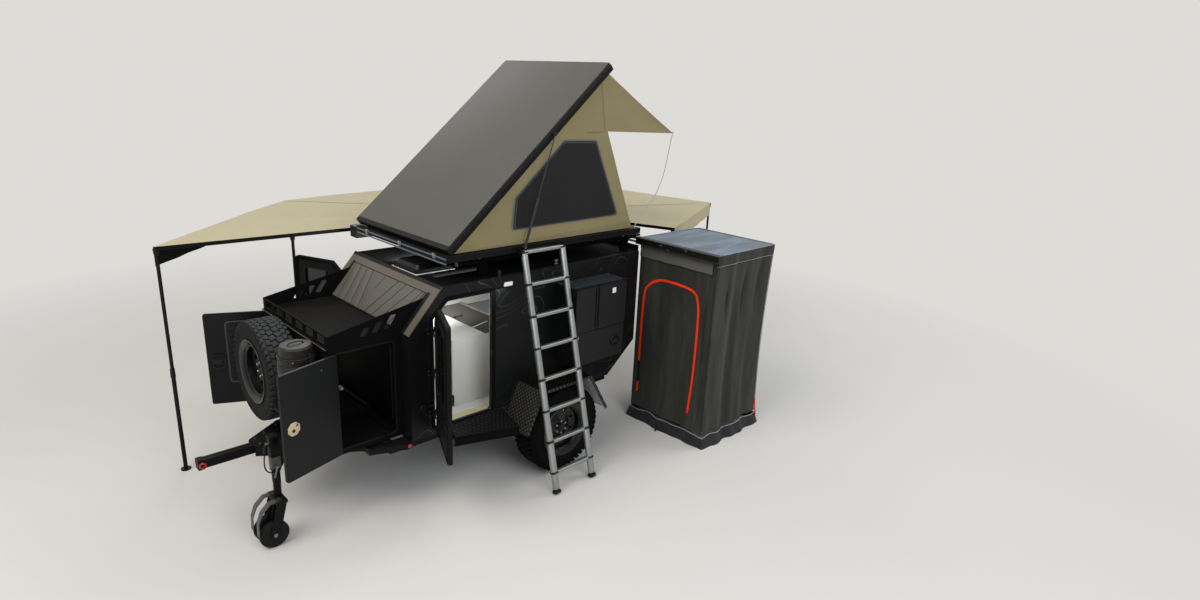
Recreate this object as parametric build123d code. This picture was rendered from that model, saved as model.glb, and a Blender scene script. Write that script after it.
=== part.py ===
from build123d import *
import math
import os

os.makedirs("parts", exist_ok=True)

# All lengths are in mm. X points forward along the drawbar, Y to the left side, Z up from the ground.
# The design frame has the axle above its origin. SHIFT moves it so that the whole envelope is centred.
SHIFT = (445, 668, 0)

# Wheels and axle
WHEEL_R = 400
WHEEL_Y = 915

# Cabin
BODY_Y = 710
WALL = 30
FLOOR_Z = 600
ROOF_Z = 1830
REAR_X = -1210
FRONT_X = 1350
ROOF_FRONT_X = 1050
SLOPE_Z = 1490
DOOR_PIN = (1150, 748)
DOOR_LEN = 575
DOOR_OPEN = {"left": 114, "right": 113}

# Nose box
NOSE_Y = 594
NOSE_X = 1930
NOSE_Z0 = 630
DECK_Z = 1500
LIP_Z = 1582
NOSE_PIN = (1893, 618)
NOSE_DOOR_LEN = 485
NOSE_OPEN = {"left": 162.9, "right": 155.3}

# Roof tent
TENT_Y = 735
LID_PIN = (960, 2080)
LID_LEN = 2190
LID_ANGLE = 41.0

# Side box on the left, behind the door
BOX = (-770, -138, 711, 970, 935, 1670)
BOX_SPLIT_X = -402
BOX_SPLIT_Z = 1250

# Awning pivot and shower corner
PIVOT = (-1150, -950)
ARM_Z = 1970


def block(x0, x1, y0, y1, z0, z1):
    size = Box(x1 - x0, y1 - y0, z1 - z0)
    return Pos((x0 + x1) / 2, (y0 + y1) / 2, (z0 + z1) / 2) * size


def prism_y(points, y0, y1):
    # a profile in X and Z, drawn out along Y
    wire = Wire.make_polygon([(x, y0, z) for x, z in points], close=True)
    return extrude(Face(wire), amount=y1 - y0, dir=(0, 1, 0))


def prism_z(points, z0, z1):
    # a plan in X and Y, drawn out along Z
    wire = Wire.make_polygon([(x, y, z0) for x, y in points], close=True)
    return extrude(Face(wire), amount=z1 - z0, dir=(0, 0, 1))


def rod(p, q, radius):
    start = Vector(*p)
    way = Vector(*q) - start
    return Plane(origin=start, z_dir=way) * Cylinder(
        radius, way.length, align=(Align.CENTER, Align.CENTER, Align.MIN)
    )


def beam(p, q, wide, high):
    # a straight box section from p to q, upright in Z
    start = Vector(*p)
    way = Vector(*q) - start
    side = Vector(0, 0, 1).cross(way).normalized()
    place = Plane(origin=start, x_dir=side, z_dir=way)
    return place * Box(wide, high, way.length, align=(Align.CENTER, Align.CENTER, Align.MIN))


def turned_y(profile):
    # a ring turned about the wheel axle, from pairs of radius and Y
    wire = Wire.make_polygon([(r, y, 0) for r, y in profile], close=True)
    return revolve(Face(wire), Axis.Y, 360)


def mirrored(shape):
    return mirror(shape, Plane.XZ)


def rounded(shape, axis, radius):
    # rounds the edges of a prism that run along the axis
    return fillet(shape.edges().filter_by(axis), radius)


def save(shape, name):
    moved = Pos(*SHIFT) * shape
    export_step(moved, "parts/" + name + ".step")


SIDES = (("left", 1), ("right", -1))


# Chassis: two main rails, cross members, the A-frame and the drawbar
chassis = block(1900, 2655, -33, 33, 558, 623)
for name, s in SIDES:
    chassis += block(-900, 1500, s * 600 - 25, s * 600 + 25, 510, 600)
    chassis += beam((1490, s * 595, 585), (2300, s * 42, 585), 55, 80)
    chassis += prism_z([(1345, s * 610), (1345, s * 700), (1395, s * 700), (1660, s * 600), (1660, s * 490), (1480, s * 610)], 545, 598)
    chassis += block(-225, -75, min(s * 625, s * 762), max(s * 625, s * 762), 566, 578)
    chassis += block(390, 470, min(s * 625, s * 650), max(s * 625, s * 650), 400, 560)
    chassis += block(360, 400, min(s * 625, s * 640), max(s * 625, s * 640), 520, 598)
CROSS_X = (1470, 760, 120, -400, -875)
for x in CROSS_X:
    chassis += block(x - 25, x + 25, -600, 600, 520, 590)
chassis += prism_z([(2310, 70), (2310, -70), (2020, -270), (2020, 270)], 625, 631)
save(chassis, "chassis_frame")

# Coupling on the drawbar tip, with a cross bore for the hitch bolt and a raised ring round it
BOLT_R = 12.5
coupling = block(2655.5, 2700, -36, 36, 552, 628)
coupling += rod((2675, 36, 590), (2675, 46, 590), 26)
coupling -= rod((2675, -80, 590), (2675, 80, 590), BOLT_R)
save(coupling, "tow_coupling")

# Jack: square outer tube on a bracket off the left rail, round leg, and a four plate fork
JACK = (2300, 420)
jack = block(JACK[0] - 30, JACK[0] + 30, JACK[1] - 30, JACK[1] + 30, 585, 850)
jack += block(JACK[0] - 36, JACK[0] + 36, JACK[1] - 36, JACK[1] + 36, 850, 866)
jack += rod((JACK[0], JACK[1], 365), (JACK[0], JACK[1], 620), 27)
jack += block(JACK[0] - 22, JACK[0] + 22, JACK[1] - 22, JACK[1] + 22, 480, 600)
jack += beam((2290, 400, 597), (2143, 196, 597), 60, 50)
jack += block(2268, 2345, 325, 515, 345, 372)
for y in (337, 389, 451, 503):
    jack += prism_y([(2270, 350), (2340, 350), (2405, 75), (2335, 75)], y - 3, y + 3)
jack -= rod((2370, 380, 105), (2370, 460, 105), 18)
jack += rod((2370, 330, 105), (2370, 510, 105), 9)
save(jack, "jack_leg")

# Twin jack wheels, one body
JACK_WHEEL_R = 105
twin = rod((2370, 342, 105), (2370, 383, 105), JACK_WHEEL_R)
twin += rod((2370, 457, 105), (2370, 498, 105), JACK_WHEEL_R)
twin += rod((2370, 383, 105), (2370, 457, 105), 14)
twin -= rod((2370, 320, 105), (2370, 520, 105), 11)
save(twin, "jack_wheels")

# Trailing arms with their stub axles, one each side
arms = None
bags = None
shocks = None
for name, s in SIDES:
    arm = beam((430, s * 690, 430), (-225, s * 690, 404), 60, 76)
    arm += rod((430, s * 652, 430), (430, s * 728, 430), 46)
    arm += rod((0, s * 700, 400), (0, s * 905, 400), 27)
    arm += block(-215, -85, min(s * 630, s * 750), max(s * 630, s * 750), 440, 448)
    arms = arm if arms is None else arms + arm
    bellows = [(0, 449), (52, 449), (62, 462), (62, 482), (50, 496), (62, 510), (62, 532), (50, 546), (50, 565), (0, 565)]
    wire = Wire.make_polygon([(r, 0, z) for r, z in bellows], close=True)
    bag = Pos(-150, s * 690, 0) * revolve(Face(wire), Axis.Z, 360)
    bags = bag if bags is None else bags + bag
    shock = rod((150, s * 656, 472), (290, s * 656, 530), 10)
    shock += rod((240, s * 656, 509), (356, s * 656, 557), 14)
    shocks = shock if shocks is None else shocks + shock
save(arms, "trailing_arms")
save(bags, "air_springs")
save(shocks, "shock_absorbers")

# Wheels
TYRE = (
    (232, -100), (262, -114), (330, -117.5), (380, -112), (400, -92),
    (400, 92), (380, 112), (330, 117.5), (262, 114), (232, 100),
    (212, 92), (212, -92),
)
RIM = (
    (208, -104), (226, -104), (226, -100), (211, -93.5), (196, -60), (196, 80), (211, 93.5),
    (226, 100), (226, 104), (208, 104), (190, 88), (184, 44), (120, 26), (70, 40),
    (34, 40), (34, -130), (132, -130), (132, -60), (70, -60), (70, 8), (120, 8), (176, 22),
    (186, -60),
)
PORTS = 8
PORT_RADIUS = 149
PORT_SIZE = 17


def ported(rim):
    # a ring of round ports through the disc
    for i in range(PORTS):
        a = math.radians(360 / PORTS * (i + 0.5))
        x = PORT_RADIUS * math.cos(a)
        z = PORT_RADIUS * math.sin(a)
        rim -= rod((x, -58, z), (x, 90, z), PORT_SIZE)
    return rim


for name, s in SIDES:
    tyre = turned_y(TYRE)
    save(Pos(0, s * WHEEL_Y, WHEEL_R) * tyre, "tyre_" + name)
    rim = turned_y(RIM)
    rim = ported(rim)
    if s < 0:
        rim = mirrored(rim)
    save(Pos(0, s * WHEEL_Y, WHEEL_R) * rim, "rim_" + name)

# Fenders: bent plate arch with a deep outer edge
ARCH = [(460, 485), (285, 850), (-295, 850), (-525, 465)]
ARCH_IN = [(-509, 459), (-288, 838), (277, 838), (449, 479)]
ARCH_EDGE = [(-498, 455), (-279, 822), (267, 822), (434, 472)]
fenders = None
for name, s in SIDES:
    lo, hi = sorted((s * 711, s * 1045))
    fender = prism_y(ARCH + ARCH_IN, lo, hi)
    lo, hi = sorted((s * 1037, s * 1045))
    fender += prism_y(ARCH + ARCH_EDGE, lo, hi)
    fenders = fender if fenders is None else fenders + fender
save(fenders, "fenders")

# Sills below the doors, with four long ribs
sills = None
for name, s in SIDES:
    lo, hi = sorted((s * 711, s * 719))
    sill = prism_y([(1000, 500), (1000, 641), (401, 641), (460, 500)], lo, hi)
    lo, hi = sorted((s * 719, s * 727))
    for z in (518, 553, 588, 623):
        sill += block(480, 990, lo, hi, z - 8, z + 8)
    sills = sill if sills is None else sills + sill
save(sills, "sills")

# Cabin floor
save(block(-850, FRONT_X, -680, 680, FLOOR_Z, FLOOR_Z + WALL), "cabin_floor")

# Side walls with their door openings
PROFILE = [(REAR_X, 905), (-850, FLOOR_Z), (FRONT_X, FLOOR_Z), (FRONT_X, SLOPE_Z), (ROOF_FRONT_X, ROOF_Z), (REAR_X, ROOF_Z)]
DOORWAY = [(583, 660), (1142, 660), (1142, 1590), (1003, 1715), (583, 1715)]
for name, s in SIDES:
    lo, hi = sorted((s * (BODY_Y - WALL), s * BODY_Y))
    wall = prism_y(PROFILE, lo, hi)
    wall -= rounded(prism_y(DOORWAY, lo - 5, hi + 5), Axis.Y, 28)
    save(wall, "side_wall_" + name)

# Roof, front wall and rear wall between the side walls
INNER_Y = BODY_Y - WALL
save(block(REAR_X + WALL, 1035, -INNER_Y, INNER_Y, ROOF_Z - WALL, ROOF_Z), "roof_panel")
FRONT = [
    (FRONT_X, 630), (FRONT_X, SLOPE_Z), (ROOF_FRONT_X, ROOF_Z), (1036, ROOF_Z),
    (1036, 1797), (1320, 1478), (1320, 630),
]
save(prism_y(FRONT, -INNER_Y, INNER_Y), "front_wall")
REAR = [(REAR_X, ROOF_Z), (REAR_X, 905), (-851, 601), (-851, 633.7), (-1180, 912.4), (-1180, ROOF_Z)]
rear = prism_y(REAR, -INNER_Y, INNER_Y)
rear -= block(-1300, -1100, -560, 560, 980, 1750)
rear += block(-1232, REAR_X, -INNER_Y, INNER_Y, 1794, 1880)
save(rear, "rear_wall")

# Rear hatch, hinged along its top
HATCH_PIN = (-1252, 1784)
hatch = block(-1240, -1216, -578, 578, 962, 1774)
hatch += rod((HATCH_PIN[0], -500, HATCH_PIN[1]), (HATCH_PIN[0], 500, HATCH_PIN[1]), 8)
hatch += block(-1256, -1238, -480, 480, 1764, 1784)
hatch += block(-1266, -1240, -60, 60, 1000, 1020)
save(hatch, "rear_hatch")

# Inside the cabin: a bed base across the rear with its mattress, and a taller locker in front of it
BED_X = (-1150, 112)
BED_Z = (1000, 1140)
LOCKER_X = (118, 790)
LOCKER_Y = (-432, 436)
LOCKER_TOP = 1245
base = prism_y([(-830, 632), (112, 632), (112, 1000), (-1150, 1000), (-1150, 905)], -672, 672)
base -= prism_y([(-822, 647), (97, 647), (97, 985), (-1135, 985), (-1135, 912)], -657, 657)
mattress = rounded(block(BED_X[0], BED_X[1], -670, 670, BED_Z[0], BED_Z[1]), Axis.Y, 24)
locker = block(LOCKER_X[0], LOCKER_X[1], LOCKER_Y[0], LOCKER_Y[1], 632, LOCKER_TOP)
locker -= block(LOCKER_X[0] + 15, LOCKER_X[1] - 15, LOCKER_Y[0] + 15, LOCKER_Y[1] - 15, 647, LOCKER_TOP - 15)
locker += block(LOCKER_X[0], LOCKER_X[0] + 22, LOCKER_Y[0], LOCKER_Y[1], LOCKER_TOP, LOCKER_TOP + 12)
locker += block(112, 118, LOCKER_Y[0], LOCKER_Y[1], 660, 1120)
bunk = base + mattress + locker
save(bunk, "bunk")

# Nose box: floor, front and posts, open at both sides and on top
nose = block(1352, NOSE_X, -NOSE_Y, NOSE_Y, NOSE_Z0, 1474)
nose -= block(1377, 1905, -569, 569, 665, 1500)
nose -= rounded(block(1420, 1885, -700, 700, 675, 1435), Axis.Y, 30)
for x in (1450, 1845):
    nose += block(x - 12, x + 12, -540, 540, 665, 685)
save(nose, "nose_shell")

# Slide tray inside the nose box
TRAY_Y = (-545, 175)
tray = block(1430, 1868, TRAY_Y[0], TRAY_Y[1], 690, 702)
for x in (1436, 1862):
    tray += block(x - 6, x + 6, TRAY_Y[0], TRAY_Y[1], 702, 760)
for y in (TRAY_Y[0] + 6, TRAY_Y[1] - 6):
    tray += block(1442, 1856, y - 6, y + 6, 702, 760)
save(tray, "nose_slide")

# Deck on the nose box, with the slotted lip and the cheeks up to the cabin
deck = block(1352, NOSE_X, -NOSE_Y, NOSE_Y, 1475, DECK_Z)
deck += block(NOSE_X - 12, NOSE_X, -NOSE_Y, NOSE_Y, DECK_Z, LIP_Z)
deck += block(NOSE_X, NOSE_X + 14, -NOSE_Y, NOSE_Y, 1478, 1490)
for i in range(6):
    y = -475 + i * 190
    deck -= rounded(block(NOSE_X - 20, NOSE_X + 5, y - 72, y + 72, 1512, 1570), Axis.X, 16)
CHEEK = [(NOSE_X, DECK_Z), (NOSE_X, LIP_Z), (1132, 1738), (1343, DECK_Z)]
CHEEK_SLOTS = (
    # rear foot, width, low Z, high Z
    (1640, 50, 1530, 1590),
    (1545, 50, 1540, 1618),
    (1450, 50, 1550, 1650),
)
for name, s in SIDES:
    lo, hi = sorted((s * (NOSE_Y - 6), s * NOSE_Y))
    cheek = prism_y(CHEEK, lo, hi)
    for x, wide, z0, z1 in CHEEK_SLOTS:
        lean = (z1 - z0) * 0.7
        gap = prism_y([(x, z0), (x + wide, z0), (x + wide - lean, z1), (x - lean, z1)], lo - 5, hi + 5)
        cheek -= rounded(gap, Axis.Y, 9)
    deck += cheek
save(deck, "deck_tray")


def on_slope(s, n):
    # a point s down the cabin's front slope from the roof edge, n out from it
    way = Vector(FRONT_X - ROOF_FRONT_X, SLOPE_Z - ROOF_Z).normalized()
    return (ROOF_FRONT_X + way.X * s - way.Y * n, ROOF_Z + way.Y * s + way.X * n)


SLOPE_LEN = math.hypot(FRONT_X - ROOF_FRONT_X, ROOF_Z - SLOPE_Z)

# Ribbed panel on the slope, the ribs fanning out towards the deck
plate = prism_y([on_slope(92, 1), on_slope(436, 1), on_slope(436, 14), on_slope(92, 14)], -584, 584)
RIBS = 9
for i in range(RIBS):
    t = (i - (RIBS - 1) / 2) / ((RIBS - 1) / 2)
    top = t * 500
    low = t * 535
    a = on_slope(112, 14)
    b = on_slope(418, 14)
    rib = beam((a[0], top, a[1]), (b[0], low, b[1]), 46, 36)
    plate += rib
plate &= prism_y([on_slope(92, 1), on_slope(436, 1), on_slope(436, 32), on_slope(92, 32)], -584, 584)
save(plate, "ribbed_panel")

# Trim band round the slope and over the roof edge
band = prism_y([on_slope(-4, 1), on_slope(SLOPE_LEN, 1), on_slope(SLOPE_LEN, 9), on_slope(-4, 9)], -712, 712)
band -= prism_y([on_slope(88, -20), on_slope(600, -20), on_slope(600, 60), on_slope(88, 60)], -598, 598)
save(band, "trim_band")

# Nose doors, built closed and then turned open about their pins
LEAF_Z = (656, 1452)
for name, s in SIDES:
    px, py = NOSE_PIN
    leaf = block(px - NOSE_DOOR_LEN, px, py - 21, py, LEAF_Z[0], LEAF_Z[1])
    leaf = rounded(leaf, Axis.Y, 18)
    leaf += rounded(block(px - 350, px - 50, py, py + 8, 860, 1380), Axis.Y, 40)
    for row in range(10):
        z = 900 + row * 48
        for x in (-300, -230, -160, -90):
            leaf -= block(px + x - 22, px + x + 22, py + 2, py + 12, z - 9, z + 9)
    leaf += rod((px - 400, py, 1040), (px - 400, py + 14, 1040), 46)
    leaf += rod((px, py, 700), (px, py, 1410), 8)
    if s < 0:
        leaf = mirrored(leaf)
    leaf = Pos(px, s * py, 0) * Rot(0, 0, -s * NOSE_OPEN[name]) * Pos(-px, -s * py, 0) * leaf
    save(leaf, "nose_door_" + name)

# Cabin doors with their glass, built closed and turned open
for name, s in SIDES:
    px, py = DOOR_PIN
    outline = [(px - DOOR_LEN, 648), (px - 4, 648), (px - 4, 1598), (px - 148, 1727), (px - DOOR_LEN, 1727)]
    leaf = rounded(prism_y(outline, py - 34, py), Axis.Y, 24)
    tall = [(px - 470, 1010), (px - 85, 1010), (px - 85, 1510), (px - 205, 1630), (px - 470, 1630)]
    leaf -= rounded(prism_y(tall, py - 60, py + 30), Axis.Y, 34)
    leaf -= rounded(block(px - 520, px - 360, py - 12, py + 10, 840, 972), Axis.Y, 16)
    leaf += rounded(block(px - 508, px - 372, py - 12, py - 3, 852, 930), Axis.Y, 10)
    for z in (800, 1153, 1500):
        leaf += rod((px, py, z - 40), (px, py, z + 40), 9)
        leaf += block(px - 60, px, py, py + 5, z - 30, z + 30)
    glass = rounded(prism_y(tall, py - 20, py - 14), Axis.Y, 34)
    if s < 0:
        leaf = mirrored(leaf)
        glass = mirrored(glass)
    turn = Pos(px, s * py, 0) * Rot(0, 0, -s * DOOR_OPEN[name]) * Pos(-px, -s * py, 0)
    save(turn * leaf, "cabin_door_" + name)
    save(turn * glass, "door_glass_" + name)

# Spare wheel on the front of the nose box, with its carrier
SPARE = (2080, -197, 1128)
tyre = Pos(*SPARE) * Rot(0, 0, -90) * turned_y(TYRE)
save(tyre, "spare_tyre")
DISH = RIM[:15] + ((34, 8),) + RIM[20:]
save(Pos(*SPARE) * Rot(0, 0, -90) * ported(turned_y(DISH)), "spare_rim")
carrier = block(1931, 1943, -340, -55, 980, 1275)
carrier += rod((1943, SPARE[1], SPARE[2]), (2082, SPARE[1], SPARE[2]), 60)
carrier += rod((2082, SPARE[1], SPARE[2]), (2128, SPARE[1], SPARE[2]), 28)
save(carrier, "spare_carrier")

# Gas bottle under its cover, on a bracketed tray
BOTTLE = (2078, 400)
shape = [
    (0, 1001), (128, 1001), (132, 1012), (132, 1360), (124, 1376), (124, 1400),
    (128, 1404), (128, 1420), (116, 1428), (114, 1492), (104, 1508), (0, 1510),
]
wire = Wire.make_polygon([(r, 0, z) for r, z in shape], close=True)
bottle = Pos(BOTTLE[0], BOTTLE[1], 0) * revolve(Face(wire), Axis.Z, 360)
save(bottle, "gas_bottle")
shelf = block(1931, 2215, 260, 540, 988, 1000)
for y in (290, 510):
    shelf += prism_y([(1931, 988), (2180, 988), (1931, 800)], y - 4, y + 4)
save(shelf, "bottle_shelf")

# Roof vent
vent = rounded(block(670, 1030, -90, 290, ROOF_Z, 1868), Axis.Z, 26)
foot = Pos(850, 100, 1868) * Rectangle(330, 350)
crown = Pos(850, 100, 1900) * Rectangle(290, 310)
vent += loft([fillet(foot.vertices(), 30), fillet(crown.vertices(), 30)])
save(vent, "roof_vent")

# Roof rack
RACK_X = (600, -250, -1100)
rack = None
for name, s in SIDES:
    rail = block(-1235, 860, s * 620 - 20, s * 620 + 20, 1950, 1985)
    rack = rail if rack is None else rack + rail
for x in RACK_X:
    rack += block(x - 25, x + 25, -640, 640, 1950, 1985)
    for s in (1, -1):
        rack += block(x - 40, x + 40, s * 600 - 20, s * 600 + 20, ROOF_Z, 1950)
        rack += block(x - 30, x + 30, s * 500 - 30, s * 500 + 30, 1985, 2020)
    rack += block(x - 25, x + 25, -784, -640, 1955, 1980)
rack += block(-1290, -1235, 600, 640, 1962, 1982)
save(rack, "roof_rack")

# Tent base with the mattress on it
base = block(-1180, 1020, -TENT_Y, TENT_Y, 2020, 2072)
base += block(-1030, 860, -680, 680, 2072, 2122)
for z in (2033, 2052):
    # long grooves of the base's extrusion
    base -= block(-1190, 1030, TENT_Y - 3, TENT_Y + 5, z, z + 7)
    base -= block(-1190, 1030, -TENT_Y - 5, -TENT_Y + 3, z, z + 7)
    base -= block(1017, 1030, -TENT_Y - 5, TENT_Y + 5, z, z + 7)
save(base, "tent_base")

# Feet of the gas struts: a plate on each side of the base with its stud
feet = None
for name, s in SIDES:
    lo, hi = sorted((s * (TENT_Y + 0.5), s * (TENT_Y + 6)))
    foot = rounded(block(256, 292, lo, hi, 2030, 2070), Axis.Y, 8)
    foot += rod((274, s * (TENT_Y + 5), 2056), (274, s * 764, 2056), 6)
    feet = foot if feet is None else feet + foot
save(feet, "strut_feet")


def lid_turn(shape):
    place = Pos(LID_PIN[0], 0, LID_PIN[1]) * Rot(0, LID_ANGLE, 0) * Pos(-LID_PIN[0], 0, -LID_PIN[1])
    return place * shape


# Tent lid: a shallow shell, its rim open at the rear where the canopy folds in
hx, hz = LID_PIN
LID_SKIN = (hz + 57, hz + 67)
LID_TOP = hz + 75
lid = rounded(block(hx - LID_LEN, hx + 20, -TENT_Y, TENT_Y, LID_SKIN[0], LID_TOP), Axis.Z, 14)
lid -= block(hx - LID_LEN + 46, hx - 60, -TENT_Y + 46, TENT_Y - 46, LID_SKIN[1], LID_TOP + 5)
for s in (1, -1):
    lo, hi = sorted((s * (TENT_Y - 20), s * TENT_Y))
    lid += block(hx - LID_LEN, hx, lo, hi, hz + 5, hz + 57)
    lo, hi = sorted((s * TENT_Y, s * 764))
    lid += rod((hx - 1330, s * TENT_Y, hz + 30), (hx - 1330, s * 764, hz + 30), 6)
lid += block(hx, hx + 20, -TENT_Y, TENT_Y, hz + 14, hz + 57)
for z in (hz + 44, hz + 61):
    # long grooves of the rim's extrusion, along both sides and the front
    lid -= block(hx - LID_LEN - 5, hx + 30, TENT_Y - 4, TENT_Y + 5, z, z + 7)
    lid -= block(hx - LID_LEN - 5, hx + 30, -TENT_Y - 5, -TENT_Y + 4, z, z + 7)
    lid -= block(hx + 16, hx + 30, -TENT_Y - 5, TENT_Y + 5, z, z + 7)
for y in (-560, 0, 560):
    lid += block(hx - 6, hx + 6, y - 60, y + 60, hz, hz + 20)
    lid += rod((hx, y - 60, hz), (hx, y + 60, hz), 6)
save(lid_turn(lid), "tent_lid")


def open_point(dx, dz):
    a = math.radians(LID_ANGLE)
    return (hx + dx * math.cos(a) + dz * math.sin(a), hz - dx * math.sin(a) + dz * math.cos(a))


# Canvas walls of the tent, a thin wedge under the lid
OUT = [(925, 2078), (948, 2120), open_point(-2120, 50), (-690, 2990), (-1063, 2125), (-1085, 2078)]
INN = [(910, 2070), (940, 2114), open_point(-2116, 45), (-685, 2988), (-1058, 2125), (-1080, 2070)]
canvas = prism_y(OUT, -702, 702) - prism_y(INN, -698, 698)
save(canvas, "tent_canvas")

# Rear canopy with its side wings
RIDGE = open_point(-2130, 42)
TIP = (-1598, 2969)
sheet = prism_y([RIDGE, TIP, (TIP[0] - 1, TIP[1] + 4), (RIDGE[0] - 1, RIDGE[1] + 5)], -702, 702)
for s in (1, -1):
    lo, hi = sorted((s * 698, s * 702))
    sheet += prism_y([RIDGE, TIP, (-702, 2994)], lo, hi)
sheet += rod((RIDGE[0], -700, RIDGE[1]), (RIDGE[0], 700, RIDGE[1]), 5)
save(sheet, "tent_canopy")

# Bent spring rods that hold the canopy out
rods = None
WIRE = ((-1585, 2960), (-1550, 2800), (-1500, 2560), (-1400, 2370), (-1250, 2230), (-1120, 2120), (-1120, 2072))
for s in (1, -1):
    for a, b in zip(WIRE, WIRE[1:]):
        piece = rod((a[0], s * 712, a[1]), (b[0], s * 712, b[1]), 5)
        rods = piece if rods is None else rods + piece
save(rods, "canopy_rods")

# Gas struts: a cylinder pinned to the base and a rod that reaches the lid
FOOT = (274, 2056)
HEAD = open_point(-1330, 30)
way = Vector(HEAD[0] - FOOT[0], 0, HEAD[1] - FOOT[1])
reach = way.length
unit = way.normalized()


def along(s, y):
    return (FOOT[0] + unit.X * s, y, FOOT[1] + unit.Z * s)


for name, s in SIDES:
    y = s * 752
    tube = rod(along(14, y), along(420, y), 11) - rod(along(24, y), along(430, y), 7)
    tube += rod((FOOT[0], y - 7, FOOT[1]), (FOOT[0], y + 7, FOOT[1]), 15)
    tube -= rod((FOOT[0], y - 12, FOOT[1]), (FOOT[0], y + 12, FOOT[1]), 7)
    save(tube, "strut_tube_" + name)
    pin = rod(along(352, y), along(reach - 12, y), 5)
    pin += rod((HEAD[0], y - 7, HEAD[1]), (HEAD[0], y + 7, HEAD[1]), 14)
    pin -= rod((HEAD[0], y - 12, HEAD[1]), (HEAD[0], y + 12, HEAD[1]), 7)
    save(pin, "strut_rod_" + name)

# Ladder, hooked on the left of the tent base
LADDER_TOP = (800, 2040)
LADDER_FOOT = (1310, 0)
RUNGS = 8
FIRST_RUNG = 193
RUNG_PITCH = 272
lean = Vector(0, LADDER_TOP[0] - LADDER_FOOT[0], LADDER_TOP[1] - LADDER_FOOT[1])
total = lean.length
lean = lean.normalized()


def up_ladder(s, x):
    return (x, LADDER_FOOT[0] + lean.Y * s, LADDER_FOOT[1] + lean.Z * s)


ladder = None
STAGES = ((40, 465, 23), (465, 1009, 21), (1009, 1553, 19), (1553, total - 4, 17))
for x in (325, -95):
    for a, b, r in STAGES:
        piece = rod(up_ladder(a, x), up_ladder(b, x), r)
        ladder = piece if ladder is None else ladder + piece
    ladder += prism_y([(x - 26, 0), (x + 26, 0), (x + 26, 52), (x - 26, 52)], 1284, 1336)
for i in range(RUNGS):
    s = FIRST_RUNG + i * RUNG_PITCH
    ladder += beam(up_ladder(s, -95), up_ladder(s, 325), 34, 26)
for x in (325, -95):
    ladder += block(x - 6, x + 6, 742, LADDER_TOP[0], 2024, 2038)
ladder += rod((-120, LADDER_TOP[0], LADDER_TOP[1]), (350, LADDER_TOP[0], LADDER_TOP[1]), 8)
save(ladder, "ladder")

# Side box and its three doors
x0, x1, y0, y1, z0, z1 = BOX
case = block(x0, x1, y0, y1 - 20, z0, z1)
case -= block(x0 + 16, x1 - 16, y0 + 12, y1, z0 + 16, BOX_SPLIT_Z - 8)
case -= block(x0 + 16, BOX_SPLIT_X - 7, y0 + 12, y1, BOX_SPLIT_Z + 8, z1 - 16)
case -= block(BOX_SPLIT_X + 7, x1 - 16, y0 + 12, y1, BOX_SPLIT_Z + 8, z1 - 16)
save(case, "side_box")
BOX_DOORS = (
    # name, rear X, front X, low Z, high Z, hinge X, grip
    ("box_door_front", BOX_SPLIT_X + 3, x1 - 8, BOX_SPLIT_Z + 3, z1 - 4, x1 - 8, "strip"),
    ("box_door_rear", x0 + 8, BOX_SPLIT_X - 3, BOX_SPLIT_Z + 3, z1 - 4, x0 + 8, "strip"),
    ("box_door_low", x0 + 8, x1 - 8, z0 + 4, BOX_SPLIT_Z - 3, x1 - 8, "round"),
)
for name, a, b, low, high, pin, grip in BOX_DOORS:
    leaf = rounded(block(a, b, y1 - 15, y1, low, high), Axis.Y, 9)
    leaf += rod((pin, y1 - 2, low + 20), (pin, y1 - 2, high - 20), 7)
    side = 1 if pin == b else -1
    far = a if pin == b else b
    if grip == "round":
        leaf += rod((far + 111, y1, 1084), (far + 111, y1 + 12, 1084), 40)
        leaf -= rod((far + 111, y1 + 5, 1084), (far + 111, y1 + 15, 1084), 30)
        leaf += block(far + 90, far + 132, y1, y1 + 9, 1070, 1098)
    else:
        lo, hi = sorted((far + side * 8, far + side * 20))
        leaf += rounded(block(lo, hi, y1, y1 + 9, low + 20, high - 20), Axis.Y, 5)
    save(leaf, name)

# Awning: case on the right of the rack, arms, poles and the fabric
px, py = PIVOT
case = block(-1080, 1000, -905, -785, 1935, 2040)
case += block(-1200, -1080, -940, -785, 1925, 1950)
case += rod((px, py, 1915), (px, py, 1984), 54)
save(case, "awning_case")
ARM_ENDS = ((2550, -1082), (880, -2715), (-900, -2990), (-3235, -2200), (-3585, -205), (-1828, 634))
spokes = None
for ex, ey in ARM_ENDS:
    way = Vector(ex - px, ey - py, 0).normalized()
    start = (px + way.X * 56, py + way.Y * 56, ARM_Z)
    spoke = beam(start, (ex, ey, ARM_Z), 34, 26)
    spokes = spoke if spokes is None else spokes + spoke
save(spokes, "awning_arms")
POLES = ((2536, -1082), (1475, -1050), (-3572, -211), (-1823, 622))
poles = None
for ex, ey in POLES:
    pole = rod((ex, ey, 0), (ex, ey, 1956), 13) + rod((ex, ey, 0), (ex, ey, 10), 40)
    poles = pole if poles is None else poles + pole
save(poles, "awning_poles")
PLAN = [
    (px + 20, py - 20), (2552, -1085), (1450, -2240), (880, -2722), (160, -2930), (-480, -2985),
    (-1600, -2975), (-2700, -2620), (-3240, -2205), (-3430, -1450), (-3590, -205), (-1830, 640), (-1770, -60),
]
save(prism_z(PLAN, 1985, 1989), "awning_fabric")

# Shower cubicle at the rear left corner
save(block(-1292, -1228, 640, 1655, 1890, 1958), "shower_case")
room = block(-2212, -1294, 662, 1622, 0, 1952) - block(-2207, -1299, 667, 1617, -10, 1947)
save(room, "shower_tent")
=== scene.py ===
import math

import bpy
from bpy.props import FloatProperty, FloatVectorProperty, IntProperty, PointerProperty
from mathutils import Matrix, Vector, noise


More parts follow.
